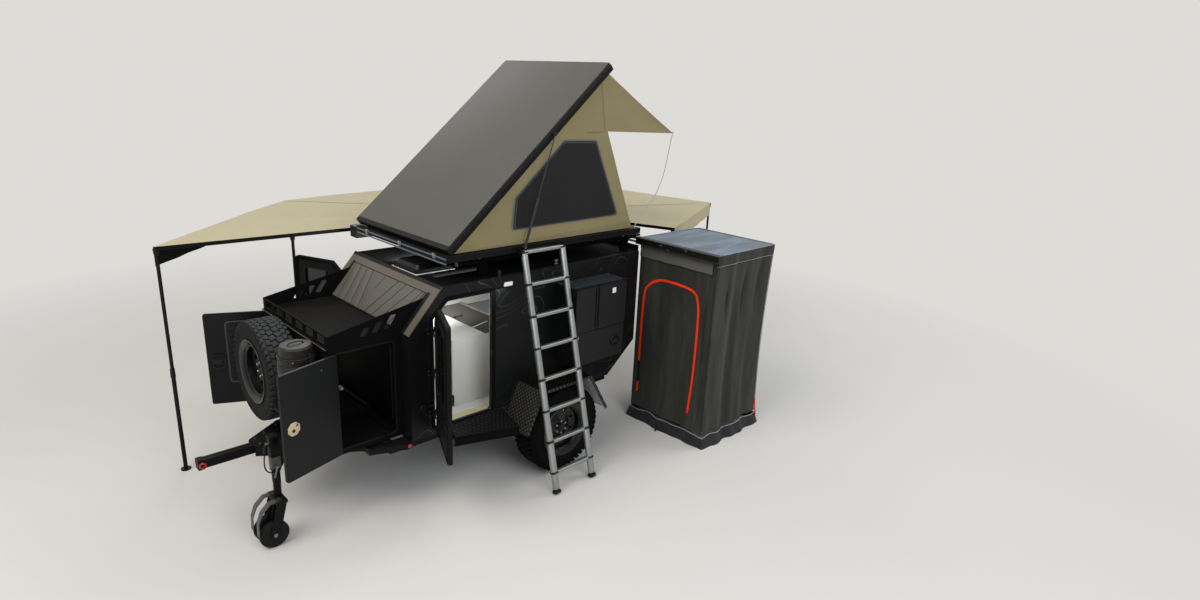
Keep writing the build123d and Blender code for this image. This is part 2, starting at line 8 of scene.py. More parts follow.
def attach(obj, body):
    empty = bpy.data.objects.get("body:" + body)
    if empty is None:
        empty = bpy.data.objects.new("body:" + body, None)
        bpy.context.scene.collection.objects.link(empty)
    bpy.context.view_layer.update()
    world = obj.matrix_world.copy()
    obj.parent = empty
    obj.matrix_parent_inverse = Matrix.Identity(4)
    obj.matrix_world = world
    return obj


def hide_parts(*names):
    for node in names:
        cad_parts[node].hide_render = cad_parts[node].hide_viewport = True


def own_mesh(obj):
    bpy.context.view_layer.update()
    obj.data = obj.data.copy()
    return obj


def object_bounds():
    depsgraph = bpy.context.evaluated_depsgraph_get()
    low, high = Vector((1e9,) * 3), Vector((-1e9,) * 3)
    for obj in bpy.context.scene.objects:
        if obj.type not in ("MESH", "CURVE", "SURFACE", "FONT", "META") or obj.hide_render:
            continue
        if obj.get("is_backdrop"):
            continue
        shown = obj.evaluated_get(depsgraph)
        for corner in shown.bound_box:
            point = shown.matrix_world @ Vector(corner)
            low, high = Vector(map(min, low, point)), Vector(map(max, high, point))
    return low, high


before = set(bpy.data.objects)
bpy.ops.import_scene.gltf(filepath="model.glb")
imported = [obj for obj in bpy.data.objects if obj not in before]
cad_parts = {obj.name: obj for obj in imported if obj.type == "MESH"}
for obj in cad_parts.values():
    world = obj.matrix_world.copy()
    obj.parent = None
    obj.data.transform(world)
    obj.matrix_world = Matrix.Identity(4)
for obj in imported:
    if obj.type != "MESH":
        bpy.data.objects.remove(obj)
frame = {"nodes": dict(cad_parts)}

bl_info = {
    "name": "Teardrop trailer dressing",
    "version": (1, 0, 0), "blender": (4, 5, 0),
    "location": "3D View > Sidebar > Trailer",
    "description": "Dresses the packed frame of a teardrop trailer with its fabric, tread, trim and finishes",
    "category": "Object",
}

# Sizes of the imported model, in mm of the drawing: X forward and Y left from the axle, Z from the ground.
WHEEL = {"left": (0, 915, 400), "right": (0, -915, 400)}
SPARE = (2080, -197, 1128)
LID_PIN = (960, 2080)
LID_ANGLE = 41.0
LID_LEN = 2190
TENT_Y = 735
DOOR_PIN = (1150, 748)
DOOR_OPEN = {"left": 114, "right": -113}
NOSE_PIN = (1893, 618)
NOSE_OPEN = {"left": 162.9, "right": -155.3}
PIVOT = (-1150, -950)
AWNING_EDGE = (
    (2552, -1085), (1450, -2240), (880, -2722), (160, -2930), (-480, -2985), (-1600, -2975),
    (-2700, -2620), (-3240, -2205), (-3430, -1450), (-3590, -205), (-1830, 640),
)
AWNING_ARMS = ((2550, -1082), (880, -2715), (-900, -2990), (-3235, -2200), (-3585, -205), (-1828, 634))
RIM_FLANGE = [(204, 100), (213, 104), (250, 117), (257, 119), (256, 122), (248, 122), (210, 109), (204, 105)]
LADDER_TOP = (800, 2040)
LADDER_FOOT = (1310, 0)
LADDER_RAILS = (325, -95)
# places of the rungs along the ladder, from its foot
RUNGS = range(193, 193 + 8 * 272, 272)
JACK = (2300, 420)
CANISTER = (2078, 400)
HINGES = (800, 1153, 1500)
SIDES = (("left", 1), ("right", -1))
# The photograph's camera, solved with the sizes: its place, its two directions, its focal length in pixels.
CAMERA_AT = (4.349, 5.883, 3.383)
CAMERA_AHEAD = (-0.683, -0.6694, -0.2925)
CAMERA_RIGHT = (-0.7097, 0.7028, 0.0489)
FOCAL, PHOTO_WIDTH = 701.8, 1200
SENSOR = 36
# Where the drawing's origin, on the ground below the axle's middle, lies in the scene, in mm.
AXLE_X, MIDDLE_Y = 445, 668


def tone(code):
    """An sRGB hex colour as linear red, green, blue and alpha."""
    parts = [int(code[i : i + 2], 16) / 255 for i in (1, 3, 5)]
    return [c / 12.92 if c <= 0.04045 else ((c + 0.055) / 1.055) ** 2.4 for c in parts] + [1.0]


def at(x, y, z):
    """A point of the drawing, in mm, as a place in the scene."""
    return Vector((x + AXLE_X, y + MIDDLE_Y, z)) / 1000


def lid_point(dx, dz):
    """X and Z of a point on the open lid, from its place on the closed one, counted from the pin."""
    a = math.radians(LID_ANGLE)
    x = LID_PIN[0] + dx * math.cos(a) + dz * math.sin(a)
    return x, LID_PIN[1] - dx * math.sin(a) + dz * math.cos(a)


def shade(name, about, code):
    return FloatVectorProperty(
        name=name, description=about, subtype="COLOR", size=4, min=0, max=1, default=tone(code)
    )


def length(name, about, metres):
    return FloatProperty(name=name, description=about, unit="LENGTH", default=metres)


class TrailerColours(bpy.types.PropertyGroup):
    body: shade("Body", "Satin powder coat on the cabin and nose box", "#0F1011")
    frame: shade("Frame", "Black coat on the drawbar, rails and rack", "#09090A")
    # the doors' greyer tone is painted light, standing for the light that rakes over them
    doors: shade("Doors", "Slightly greyer coat on the doors and side box", "#161718")
    trim: shade("Trim", "Grey-brown coat on the slope band", "#5F594D")
    panel: shade("Panel", "Grey-brown ribbed panel on the slope", "#5B5851")
    lid: shade("Lid", "Grey skin of the roof tent's lid", "#5E5D59")
    canvas: shade("Canvas", "Khaki canvas of the roof tent", "#897E57")
    window: shade("Window", "Dark net in the tent windows", "#1D1D1E")
    awning: shade("Awning", "Pale khaki cloth of the awning", "#B1A67F")
    shower: shade("Shower", "Dark grey cloth of the shower cubicle", "#2A2A26")
    shower_roof: shade("Shower roof", "Silvery light-blue coating on the shower's roof", "#647C90")
    zip: shade("Zip", "Orange zip tape on the shower door", "#FF3F10")
    inside: shade("Inside", "White lining of the cabin", "#D9D9D4")
    locker: shade("Locker", "Light grey locker under the bed", "#C4C4BF")
    cover: shade("Bed cover", "Blue-grey cover on the mattress", "#5C656B")
    bottle: shade("Canister", "Dark grey coat on the gas canister", "#242321")
    alloy: shade("Ladder", "Anodised aluminium of the ladder", "#A3A7A6")
    floor: shade("Floor", "Pale studio floor", "#D4D2CD")


class TrailerSizes(bpy.types.PropertyGroup):
    thread: length("Thread", "Spacing of the canvas threads, drawn coarse", 0.006)
    valance: length("Valance", "Depth of the awning's hanging edge", 0.16)
    sag: length("Sag", "How far the awning sinks between two arms", 0.03)
    plate_pitch: length("Tread plate", "Spacing of the lozenges on the tread plate", 0.030)
    lugs: IntProperty(name="Lugs", description="Tread blocks round a tyre", default=46, min=12)


# Small tools for shaping


def clear():
    """Leave edit mode and deselect everything."""
    if bpy.context.object and bpy.context.object.mode != "OBJECT":
        bpy.ops.object.mode_set(mode="OBJECT")
    bpy.ops.object.select_all(action="DESELECT")


def pick(*things):
    clear()
    for thing in things:
        thing.select_set(True)
    bpy.context.view_layer.objects.active = things[0]
    return things[0]


def settle(obj):
    """Put the object's place and turn into its mesh."""
    pick(obj)
    bpy.ops.object.transform_apply(location=True, rotation=True, scale=True)
    return obj


def modify(obj, kind, **settings):
    """Add one modifier and apply it."""
    pick(obj)
    step = obj.modifiers.new("step", kind)
    for key, value in settings.items():
        setattr(step, key, value)
    bpy.ops.object.modifier_apply(modifier=step.name)
    return obj


def soften(obj, width, segments=2):
    """Round the hard edges."""
    return modify(
        obj, "BEVEL", width=width, segments=segments, limit_method="ANGLE", angle_limit=math.radians(40)
    )


def close_up(obj):
    """Merge doubled points and turn the faces outwards."""
    pick(obj)
    bpy.ops.object.mode_set(mode="EDIT")
    bpy.ops.mesh.select_all(action="SELECT")
    bpy.ops.mesh.remove_doubles(threshold=0.00002)
    bpy.ops.mesh.normals_make_consistent(inside=False)
    bpy.ops.object.mode_set(mode="OBJECT")
    return obj


def heading(way, up=(0, 0, 1)):
    """The turn that points a shape's Z along way, with its Y towards up."""
    z = Vector(way).normalized()
    x = Vector(up).cross(z)
    x = Vector((1, 0, 0)) if x.length < 1e-4 else x.normalized()
    return Matrix((x, z.cross(x), z)).transposed().to_quaternion()


def bar(p, q, wide, high, up=(0, 0, 1)):
    """A box section from p to q, its width and height in mm."""
    clear()
    way = q - p
    bpy.ops.mesh.primitive_cube_add(size=1, location=(p + q) / 2, rotation=heading(way, up).to_euler())
    obj = bpy.context.object
    obj.scale = (wide / 1000, high / 1000, way.length)
    return settle(obj)


def slab(x0, x1, y0, y1, z0, z1):
    """A box between two corners of the drawing."""
    clear()
    bpy.ops.mesh.primitive_cube_add(size=1, location=(at(x0, y0, z0) + at(x1, y1, z1)) / 2)
    obj = bpy.context.object
    obj.scale = (abs(x1 - x0) / 1000, abs(y1 - y0) / 1000, abs(z1 - z0) / 1000)
    return settle(obj)


def stick(p, q, radius, tip=None, sides=20):
    """A round bar from p to q, with another radius at q where tip is given, in mm."""
    clear()
    way = q - p
    bpy.ops.mesh.primitive_cone_add(
        vertices=sides, radius1=radius / 1000, radius2=(radius if tip is None else tip) / 1000,
        depth=way.length, location=(p + q) / 2, rotation=heading(way).to_euler(),
    )
    return settle(bpy.context.object)


def outline(points, push):
    """A flat outline drawn out along push, in scene metres."""
    clear()
    bpy.ops.mesh.primitive_circle_add(vertices=len(points), fill_type="NGON", location=(0, 0, 0))
    obj = bpy.context.object
    for vertex, point in zip(obj.data.vertices, points):
        vertex.co = point
    bpy.ops.object.mode_set(mode="EDIT")
    bpy.ops.mesh.select_all(action="SELECT")
    bpy.ops.mesh.extrude_region_move(TRANSFORM_OT_translate={"value": tuple(push)})
    bpy.ops.object.mode_set(mode="OBJECT")
    return close_up(obj)


def frame_of(points, inner, push):
    """A flat ring between two outlines with equal counts, drawn out along push."""
    clear()
    count = len(points)
    bpy.ops.mesh.primitive_grid_add(x_subdivisions=count, y_subdivisions=1, size=1, location=(0, 0, 0))
    obj = bpy.context.object
    ring = list(points) + [points[0]] + list(inner) + [inner[0]]
    for vertex, point in zip(obj.data.vertices, ring):
        vertex.co = point
    bpy.ops.object.mode_set(mode="EDIT")
    bpy.ops.mesh.select_all(action="SELECT")
    bpy.ops.mesh.remove_doubles(threshold=0.00002)
    bpy.ops.mesh.extrude_region_move(TRANSFORM_OT_translate={"value": tuple(push)})
    bpy.ops.object.mode_set(mode="OBJECT")
    return close_up(obj)


def turned(profile, centre, axis, steps=64):
    """A closed profile of radius and height, in mm, spun about an axis through centre."""
    clear()
    axis = Vector(axis).normalized()
    out = axis.orthogonal().normalized()
    bpy.ops.mesh.primitive_circle_add(vertices=len(profile), fill_type="NOTHING", location=(0, 0, 0))
    obj = bpy.context.object
    for vertex, (radius, height) in zip(obj.data.vertices, profile):
        vertex.co = centre + out * radius / 1000 + axis * height / 1000
    bpy.ops.object.mode_set(mode="EDIT")
    bpy.ops.mesh.select_all(action="SELECT")
    bpy.ops.mesh.spin(steps=steps, angle=2 * math.pi, center=centre, axis=axis)
    bpy.ops.object.mode_set(mode="OBJECT")
    return close_up(obj)


def ring_of(obj, count, centre, axis):
    """Repeat a shape evenly round an axis."""
    pick(obj)
    bpy.ops.object.mode_set(mode="EDIT")
    bpy.ops.mesh.select_all(action="SELECT")
    turn = 2 * math.pi * (count - 1) / count
    bpy.ops.mesh.spin(steps=count - 1, dupli=True, angle=turn, center=centre, axis=axis)
    bpy.ops.object.mode_set(mode="OBJECT")
    return close_up(obj)


def net(rows):
    """A sheet through rows of points, with its UV map in metres."""
    clear()
    across, along = len(rows[0]) - 1, len(rows) - 1
    bpy.ops.mesh.primitive_grid_add(x_subdivisions=across, y_subdivisions=along, size=1, location=(0, 0, 0))
    obj = bpy.context.object
    obj.data.vertices.foreach_set("co", [c for row in rows for point in row for c in point])
    middle = rows[along // 2]
    wide = sum((b - a).length for a, b in zip(middle, middle[1:]))
    column = [row[across // 2] for row in rows]
    high = sum((b - a).length for a, b in zip(column, column[1:]))
    for corner in obj.data.uv_layers[0].data:
        corner.uv = (corner.uv[0] * wide, corner.uv[1] * high)
    obj.data.update()
    return obj


def spread(point, across, along):
    """A sheet through point(i, k), i counted across it and k along it."""
    return net([[point(i, k) for i in range(across + 1)] for k in range(along + 1)])


def tube(points, radius, smooth=True, closed=False):
    """A round cord, wire or piping along points, in scene metres, its radius in mm."""
    clear()
    bpy.ops.curve.primitive_nurbs_path_add(location=(0, 0, 0))
    obj = bpy.context.object
    obj.data.splines.clear()
    spline = obj.data.splines.new("NURBS" if smooth else "POLY")
    spline.points.add(len(points) - 1)
    for knot, point in zip(spline.points, points):
        knot.co = (*point, 1)
    spline.use_cyclic_u = closed
    if smooth:
        spline.order_u = 3
        spline.use_endpoint_u = not closed
        spline.resolution_u = 4
    obj.data.bevel_depth = radius / 1000
    obj.data.bevel_resolution = 2
    obj.data.use_fill_caps = not closed
    bpy.ops.object.convert(target="MESH")
    return bpy.context.object


def rounded(points, radius, steps=5):
    """A flat closed outline in two coordinates with its corners rounded."""
    out = []
    count = len(points)
    for i, (x, y) in enumerate(points):
        corner = Vector((x, y))
        back = Vector(points[i - 1]) - corner
        ahead = Vector(points[(i + 1) % count]) - corner
        half = back.angle(ahead) / 2
        cut = min(radius / math.tan(half), back.length * 0.45, ahead.length * 0.45)
        a = corner + back.normalized() * cut
        b = corner + ahead.normalized() * cut
        for k in range(steps + 1):
            t = k / steps
            out.append(tuple(a * (1 - t) ** 2 + corner * 2 * t * (1 - t) + b * t * t))
    return out


def oblong(x0, x1, z0, z1, radius, steps=5):
    """A rounded rectangle."""
    return rounded([(x0, z0), (x1, z0), (x1, z1), (x0, z1)], radius, steps)


def doorway(x0, x1, z0, z1, cut, radius):
    """A rounded rectangle with its front upper corner cut off from X cut[0] down to Z cut[1]."""
    return rounded([(x0, z0), (x1, z0), (x1, cut[1]), (cut[0], z1), (x0, z1)], radius)


def along_line(points, t):
    """The point a share t along a broken line."""
    spans = [(b - a).length for a, b in zip(points, points[1:])]
    left = t * sum(spans)
    for a, b, span in zip(points, points[1:], spans):
        if left <= span or b is points[-1]:
            return a.lerp(b, left / span)
        left -= span


def ripple(x, y, z, size):
    """A smooth swing from -1 to 1 that changes over size metres."""
    return noise.noise(Vector((x, y, z)) / size)


def dress(obj, finish):
    """Give a shape its finish: a function that makes a material, or the material."""
    obj.data.materials.clear()
    obj.data.materials.append(finish() if callable(finish) else finish)
    return obj


def lump(x0, x1, y0, y1, z0, z1, finish, soft=1.5):
    """A box between two corners of the drawing, its edges softened by soft mm."""
    return dress(soften(slab(x0, x1, y0, y1, z0, z1), soft / 1000), finish)


def cut_out(points, y, thick, finish, soft=0):
    """An outline of X and Z drawn out from Y by thick mm."""
    obj = outline([at(x, y, z) for x, z in points], (0, thick / 1000, 0))
    return dress(soften(obj, soft / 1000) if soft else obj, finish)


def hoop(outer, inner, y, thick, finish):
    """A flat ring between two outlines of X and Z, drawn out from Y by thick mm."""
    outer = [at(x, y, z) for x, z in outer]
    inner = [at(x, y, z) for x, z in inner]
    return dress(frame_of(outer, inner, (0, thick / 1000, 0)), finish)


def rod(low, high, radius, finish, tip=None, sides=20):
    """A round bar between two points of the drawing."""
    return dress(stick(at(*low), at(*high), radius, tip, sides), finish)


def fuse(parts):
    """Join shapes into one mesh, each keeping its finish."""
    pick(*parts)
    if len(parts) > 1:
        bpy.ops.object.join()
    return bpy.context.view_layer.objects.active


def copy_of(obj):
    """Another of the same shape, with its own mesh."""
    pick(obj)
    bpy.ops.object.duplicate(linked=False)
    return bpy.context.object


def flipped(obj):
    """The same shape on the other side of the trailer."""
    pick(obj)
    obj.scale = (1, -1, 1)
    obj.location = (0, 2 * MIDDLE_Y / 1000, 0)
    settle(obj)
    bpy.ops.object.mode_set(mode="EDIT")
    bpy.ops.mesh.select_all(action="SELECT")
    bpy.ops.mesh.flip_normals()
    bpy.ops.object.mode_set(mode="OBJECT")
    return obj


def carried(obj, pin, degrees, axis="Z"):
    """Turn a shape built in its closed place about a pin, to where it stands open."""
    pick(obj)
    turn = Matrix.Rotation(math.radians(degrees), 4, axis)
    obj.matrix_world = Matrix.Translation(pin) @ turn @ Matrix.Translation(-pin)
    return settle(obj)


def piece(obj, name, body, swap=(), angle=35):
    """Name a finished shape, or a list of shapes fused to one, smooth it and put it on its body."""
    obj = fuse(obj) if isinstance(obj, list) else obj
    pick(obj)
    obj.name = name
    obj.data.name = name
    bpy.ops.object.shade_smooth_by_angle(angle=math.radians(angle))
    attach(obj, body)
    if swap:
        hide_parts(*swap)
    return obj


# Finishes


def add(tree, kind, feeds=None, **settings):
    """Add a node with its settings, and feed its inputs from values or other nodes' outputs."""
    node = tree.nodes.new(kind)
    for key, value in settings.items():
        setattr(node, key, value)
    for key, value in (feeds or {}).items():
        if isinstance(value, bpy.types.NodeSocket):
            tree.links.new(value, node.inputs[key])
        else:
            node.inputs[key].default_value = value
    return node


def maths(tree, operation, *values):
    """Arithmetic on numbers and outputs."""
    return add(tree, "ShaderNodeMath", dict(enumerate(values)), operation=operation).outputs[0]


def span(tree, value, first=0.0, last=1.0, low=0.0, high=1.0, kind="LINEAR"):
    """A value that runs from first to last, brought to low and high and held there."""
    feeds = {"Value": value, "From Min": first, "From Max": last, "To Min": low, "To Max": high}
    return add(tree, "ShaderNodeMapRange", feeds, interpolation_type=kind).outputs[0]


def mottle(tree, place, scale, detail, roughness=0.5, distortion=0.0):
    """Soft noise between 0 and 1."""
    feeds = {
        "Vector": place, "Scale": scale, "Detail": detail, "Roughness": roughness, "Distortion": distortion
    }
    return add(tree, "ShaderNodeTexNoise", feeds).outputs["Fac"]


def blend(tree, share, one, other):
    """Two colours mixed: one at a share of 0, the other at 1."""
    return add(tree, "ShaderNodeMix", {"Factor": share, 6: one, 7: other}, data_type="RGBA").outputs[2]


def vectors(tree, operation, *values):
    """Arithmetic on vectors."""
    return add(tree, "ShaderNodeVectorMath", dict(enumerate(values)), operation=operation).outputs


def scaled(tree, vector, share):
    return add(tree, "ShaderNodeVectorMath", {0: vector, "Scale": share}, operation="SCALE").outputs[0]


def bumped(tree, height, distance, strength):
    feeds = {"Height": height, "Distance": distance, "Strength": strength}
    return add(tree, "ShaderNodeBump", feeds).outputs[0]


def here(tree):
    """Each point's place on its own object."""
    return add(tree, "ShaderNodeTexCoord").outputs["Object"]


def facing(tree):
    """X, Y and Z of the way that a surface faces."""
    return add(
        tree, "ShaderNodeSeparateXYZ", {"Vector": add(tree, "ShaderNodeNewGeometry").outputs["Normal"]}
    ).outputs


def looked_at(tree):
    """1 where the camera looks, straight or by way of a mirror or a pane."""
    path = add(tree, "ShaderNodeLightPath").outputs
    straight = maths(tree, "MAXIMUM", path["Is Camera Ray"], path["Is Glossy Ray"])
    return maths(tree, "MAXIMUM", straight, path["Is Transmission Ray"])


def wire(tree, shader, **ends):
    """Lead outputs to the shader's inputs of those names."""
    for key, socket in ends.items():
        tree.links.new(socket, shader.inputs[key.replace("_", " ")])


def reopened(made):
    """The nodes, the shader and the colour of a material that is made, to add to them."""
    tree = made.node_tree
    shader = next(node for node in tree.nodes if node.bl_idname == "ShaderNodeBsdfPrincipled")
    return tree, shader, shader.inputs["Base Color"].links[0].from_socket


def start(name, **values):
    """A new material with one Principled shader."""
    made = bpy.data.materials.new(name)
    made.use_nodes = True
    tree = made.node_tree
    tree.nodes.clear()
    feeds = {key.replace("_", " "): value for key, value in values.items()}
    shader = add(tree, "ShaderNodeBsdfPrincipled", feeds)
    add(tree, "ShaderNodeOutputMaterial", {"Surface": shader.outputs[0]})
    return made, tree, shader


def paint(colour):
    """A colour from its #hex, from the panel by its name there, or as it is."""
    if not isinstance(colour, str):
        return colour
    return tone(colour) if colour[0] == "#" else list(getattr(colours(), colour))


def tinted(colour, share):
    """A colour made darker or paler, 1 at most."""
    return [min(1, c * share) for c in colour[:3]] + [1]


def kept(make, *values, **settings):
    """A finish that is made when it is first asked for, and the same one handed out after that."""
    made = []

    def finish():
        if not made:
            made.append(make(*values, **settings))
        return made[0]

    return finish


def coat(name, colour, rough, dusty=0.03, peel=0.00006, shine=0.2):
    """Powder coat: an even satin film with faint orange peel, cloudier and paler where dust lies on top."""
    colour = paint(colour)
    made, tree, shader = start(name, Roughness=rough, IOR=1.5, Specular_IOR_Level=shine)
    place = here(tree)
    # real peel is about 1.5 mm across, drawn at 6 mm so that it shows
    fine = mottle(tree, place, 160.0, 2.0)
    broad = mottle(tree, place, 3.2, 5.0, roughness=0.6)
    up = facing(tree)[2]
    top = span(tree, up, first=0.2, last=1.0, high=dusty)
    lies = maths(tree, "MULTIPLY", top, broad)
    dark = tinted(colour, 0.82)
    cloud = blend(tree, broad, dark, colour)
    dust = blend(tree, lies, cloud, tone("#8F8A80"))
    gloss = span(tree, broad, low=rough - 0.08, high=rough + 0.1)
    bump = bumped(tree, fine, peel * 4, 0.5)
    wire(tree, shader, Base_Color=dust, Roughness=gloss, Normal=bump)
    return made


def weave(name, colour, thread=None, depth=0.0004, rough=0.85, sheen=0.2, uneven=0.12, shine=0.3):
    """Plain-woven cloth: crossed threads in the sheet's own directions, matt, with soft uneven colour."""
    colour = paint(colour)
    made, tree, shader = start(
        name, Roughness=rough, Sheen_Weight=sheen, Sheen_Roughness=0.5, Specular_IOR_Level=shine
    )
    flat = add(tree, "ShaderNodeUVMap").outputs[0]
    place = here(tree)
    # real threads lie 0.6 mm apart, drawn at the thread size given so that they show
    pitch = 1 / (thread or sizes().thread) / 3.1416 / 2
    warp = add(tree, "ShaderNodeTexWave", {"Vector": flat, "Scale": pitch * 1.6}, bands_direction="X")
    weft = add(tree, "ShaderNodeTexWave", {"Vector": flat, "Scale": pitch * 1.6}, bands_direction="Y")
    cross = maths(tree, "MULTIPLY", warp.outputs["Fac"], weft.outputs["Fac"])
    broad = mottle(tree, place, 4.0, 6.0, roughness=0.62)
    thin = mottle(tree, place, 55.0, 3.0)
    dark = tinted(colour, 1 - uneven)
    pale = tinted(colour, 1 + uneven)
    cloud = blend(tree, broad, dark, pale)
    deep = span(tree, cross, low=0.86, high=1.04)
    fleck = span(tree, thin, low=0.92, high=1.08)
    both = maths(tree, "MULTIPLY", deep, fleck)
    tint = scaled(tree, cloud, both)
    bump = bumped(tree, cross, depth, 0.7)
    wire(tree, shader, Base_Color=tint, Normal=bump)
    return made


def lozenges(tree, flat, pitch):
    """Height of a tread plate: raised lozenges that lean one way and the other by turns."""
    turned_by = add(
        tree, "ShaderNodeMapping",
        {"Vector": flat, "Rotation": (0, 0, math.radians(45)), "Scale": (1 / pitch, 1 / pitch, 1 / pitch)},
    )
    checks = add(tree, "ShaderNodeTexChecker", {"Vector": turned_by.outputs[0], "Scale": 1.0})
    cell = vectors(tree, "FRACTION", turned_by.outputs[0])[0]
    middle = vectors(tree, "SUBTRACT", cell, (0.5, 0.5, 0.5))[0]
    size = vectors(tree, "ABSOLUTE", middle)[0]
    side = add(tree, "ShaderNodeSeparateXYZ", {"Vector": size})
    x, y, turn = side.outputs[0], side.outputs[1], checks.outputs["Fac"]
    long = add(tree, "ShaderNodeMix", {"Factor": turn, 2: x, 3: y})
    short = add(tree, "ShaderNodeMix", {"Factor": turn, 2: y, 3: x})
    reach = span(tree, long.outputs[0], first=0.3, last=0.46, low=1.0, high=0.0)
    width = span(tree, short.outputs[0], first=0.05, last=0.17, low=1.0, high=0.0)
    return maths(tree, "MULTIPLY", reach, width)


def plate(name, colour, rough, metallic, wear_and_highlight, flat_x=True, shine=0.5, top=1.0):
    """Chequer plate: rolled lozenges with a painted highlight on their backs in a paler second colour, and
    painted shade that darkens the colour by top where it faces up.
    """
    colour, wear_and_highlight = paint(colour), paint(wear_and_highlight)
    made, tree, shader = start(name, Roughness=rough, Metallic=metallic, Specular_IOR_Level=shine)
    place = here(tree)
    parts = add(tree, "ShaderNodeSeparateXYZ", {"Vector": place})
    off = maths(tree, "SUBTRACT", parts.outputs[0], AXLE_X / 1000)
    far = maths(tree, "ABSOLUTE", off)
    fall = maths(tree, "MULTIPLY_ADD", parts.outputs[2], -0.6, far)
    over = add(tree, "ShaderNodeCombineXYZ", {0: parts.outputs[1], 1: fall})
    front = add(tree, "ShaderNodeCombineXYZ", {0: parts.outputs[0], 1: parts.outputs[2]})
    raised = lozenges(tree, (over if flat_x else front).outputs[0], sizes().plate_pitch)
    broad = mottle(tree, place, 9.0, 4.0)
    lift = maths(tree, "MULTIPLY", raised, broad)
    # painted highlight: the raised lozenges blend to the paler second colour
    tint = blend(tree, lift, colour, wear_and_highlight)
    # painted shade: the colour is darkened by top on faces that look up
    up = facing(tree)[2]
    level = span(tree, up, first=0.45, low=1.0, high=top)
    tint = scaled(tree, tint, level)
    bump = bumped(tree, raised, 0.003, 0.9)
    gleam = maths(tree, "MULTIPLY", level, shine)
    wire(tree, shader, Specular_IOR_Level=gleam, Base_Color=tint, Normal=bump)
    return made


def metal(name, colour, rough, along=(1, 1, 1), grain=0.0015):
    """Bare metal: drawn or brushed, with fine streaks along one direction."""
    colour = paint(colour)
    made, tree, shader = start(name, Metallic=1.0, Roughness=rough)
    place = here(tree)
    # streaks are 0.1 mm wide on the real one, drawn at 1.5 mm
    spread = tuple(1 / grain * k for k in along)
    stretch = add(tree, "ShaderNodeMapping", {"Vector": place, "Scale": spread})
    lines = mottle(tree, stretch.outputs[0], 1.0, 3.0)
    broad = mottle(tree, place, 14.0, 3.0)
    mixed = maths(tree, "ADD", lines, broad)
    gloss = span(tree, mixed, last=2.0, low=rough - 0.1, high=rough + 0.14)
    dark = tinted(colour, 0.8)
    tint = blend(tree, broad, dark, colour)
    bump = bumped(tree, lines, 0.0002, 0.3)
    wire(tree, shader, Roughness=gloss, Base_Color=tint, Normal=bump)
    return made


def moulded(name, colour, rough, grain=0.004, depth=0.0002, uneven=0.1, shine=0.5):
    """Moulded plastic or rubber: a fine leathery grain and slightly uneven gloss."""
    colour = paint(colour)
    made, tree, shader = start(name, Roughness=rough, IOR=1.5, Specular_IOR_Level=shine)
    place = here(tree)
    fine = mottle(tree, place, 1 / grain, 3.0)
    broad = mottle(tree, place, 7.0, 5.0)
    dark = tinted(colour, 1 - uneven)
    pale = tinted(colour, 1 + uneven)
    tint = blend(tree, broad, dark, pale)
    gloss = span(tree, broad, low=rough - 0.07, high=rough + 0.07)
    bump = bumped(tree, fine, depth, 0.5)
    wire(tree, shader, Base_Color=tint, Roughness=gloss, Normal=bump)
    return made


def colours():
    return bpy.context.scene.trailer_colours


def sizes():
    return bpy.context.scene.trailer_sizes


# satin powder coat on folded steel: soft wide highlights, no sparkle
body_coat = kept(coat, "Powder coated steel, satin black", "body", 0.45, shine=0.18)
# the same film on the door skins, a touch greyer all over: painted light for the light that rakes over them
door_coat_painted_light = kept(coat, "Powder coated steel, charcoal", "doors", 0.45)
leaf_coat = kept(coat, "Powder coated steel, cabin doors", "#0C0D0E", 0.5, shine=0.12)
# thicker coat on the chassis tubes and the tent's shells: darker, with more peel
frame_coat = kept(
    coat, "Powder coated steel, chassis black", "frame", 0.5, dusty=0.04, peel=0.0001, shine=0.14
)
# grey-brown powder coat with a metallic fleck: flat and warm
trim_coat = kept(coat, "Powder coated aluminium, grey-brown", "trim", 0.4, shine=0.35)
panel_coat = kept(coat, "Ribbed aluminium panel, grey-brown", "panel", 0.42, shine=0.35)
bottle_coat = kept(coat, "Enamelled canister, grey-brown", "bottle", 0.42, dusty=0.02, shine=0.25)
# glass-fibre lid with a painted skin: very even, slightly sheeny grey
lid_skin = kept(coat, "Painted glass-fibre skin, mid grey", "lid", 0.62, dusty=0.02, peel=0.00003, shine=0.12)
rack_coat = kept(coat, "Powder coated steel, rack", "#050505", 0.65, dusty=0.0, shine=0.04)


@kept
def wall_coat():
    # the body's film with faint contour lines printed on it, as on a map
    made = coat("Powder coated steel, printed wall", list(colours().body), 0.45, shine=0.18)
    tree, shader, base = reopened(made)
    place = here(tree)
    hills = mottle(tree, place, 1.7, 1.0, distortion=0.8)
    level = maths(tree, "MULTIPLY", hills, 14.0)
    step = maths(tree, "FRACT", level)
    off = maths(tree, "SUBTRACT", step, 0.5)
    far = maths(tree, "ABSOLUTE", off)
    line = span(tree, far, first=0.02, last=0.05, low=1.0, high=0.0)
    patchy = mottle(tree, place, 2.6, 0.0)
    wear_and_highlight = span(tree, patchy, first=0.44, last=0.6, high=0.6)
    share = maths(tree, "MULTIPLY", line, wear_and_highlight)
    tint = blend(tree, share, base, tone("#4C4C4B"))
    wire(tree, shader, Base_Color=tint)
    return made


# the roof lies in the tent's shade and mirrors its black underside
roof_coat = kept(coat, "Powder coated steel, roof", "#0C0C0E", 0.72, dusty=0.0, shine=0.07)
# coarse anti-slip coat on the deck and inside the nose box: matt, nearly no highlight
deck_coat = kept(coat, "Textured deck coat, black", "#0C0C0C", 0.7, dusty=0.02, peel=0.0001, shine=0.05)
# anodised edge strips, a soft grey line
rim_bead = kept(coat, "Anodised edge strip, grey", "#3F4042", 0.4, shine=0.3)
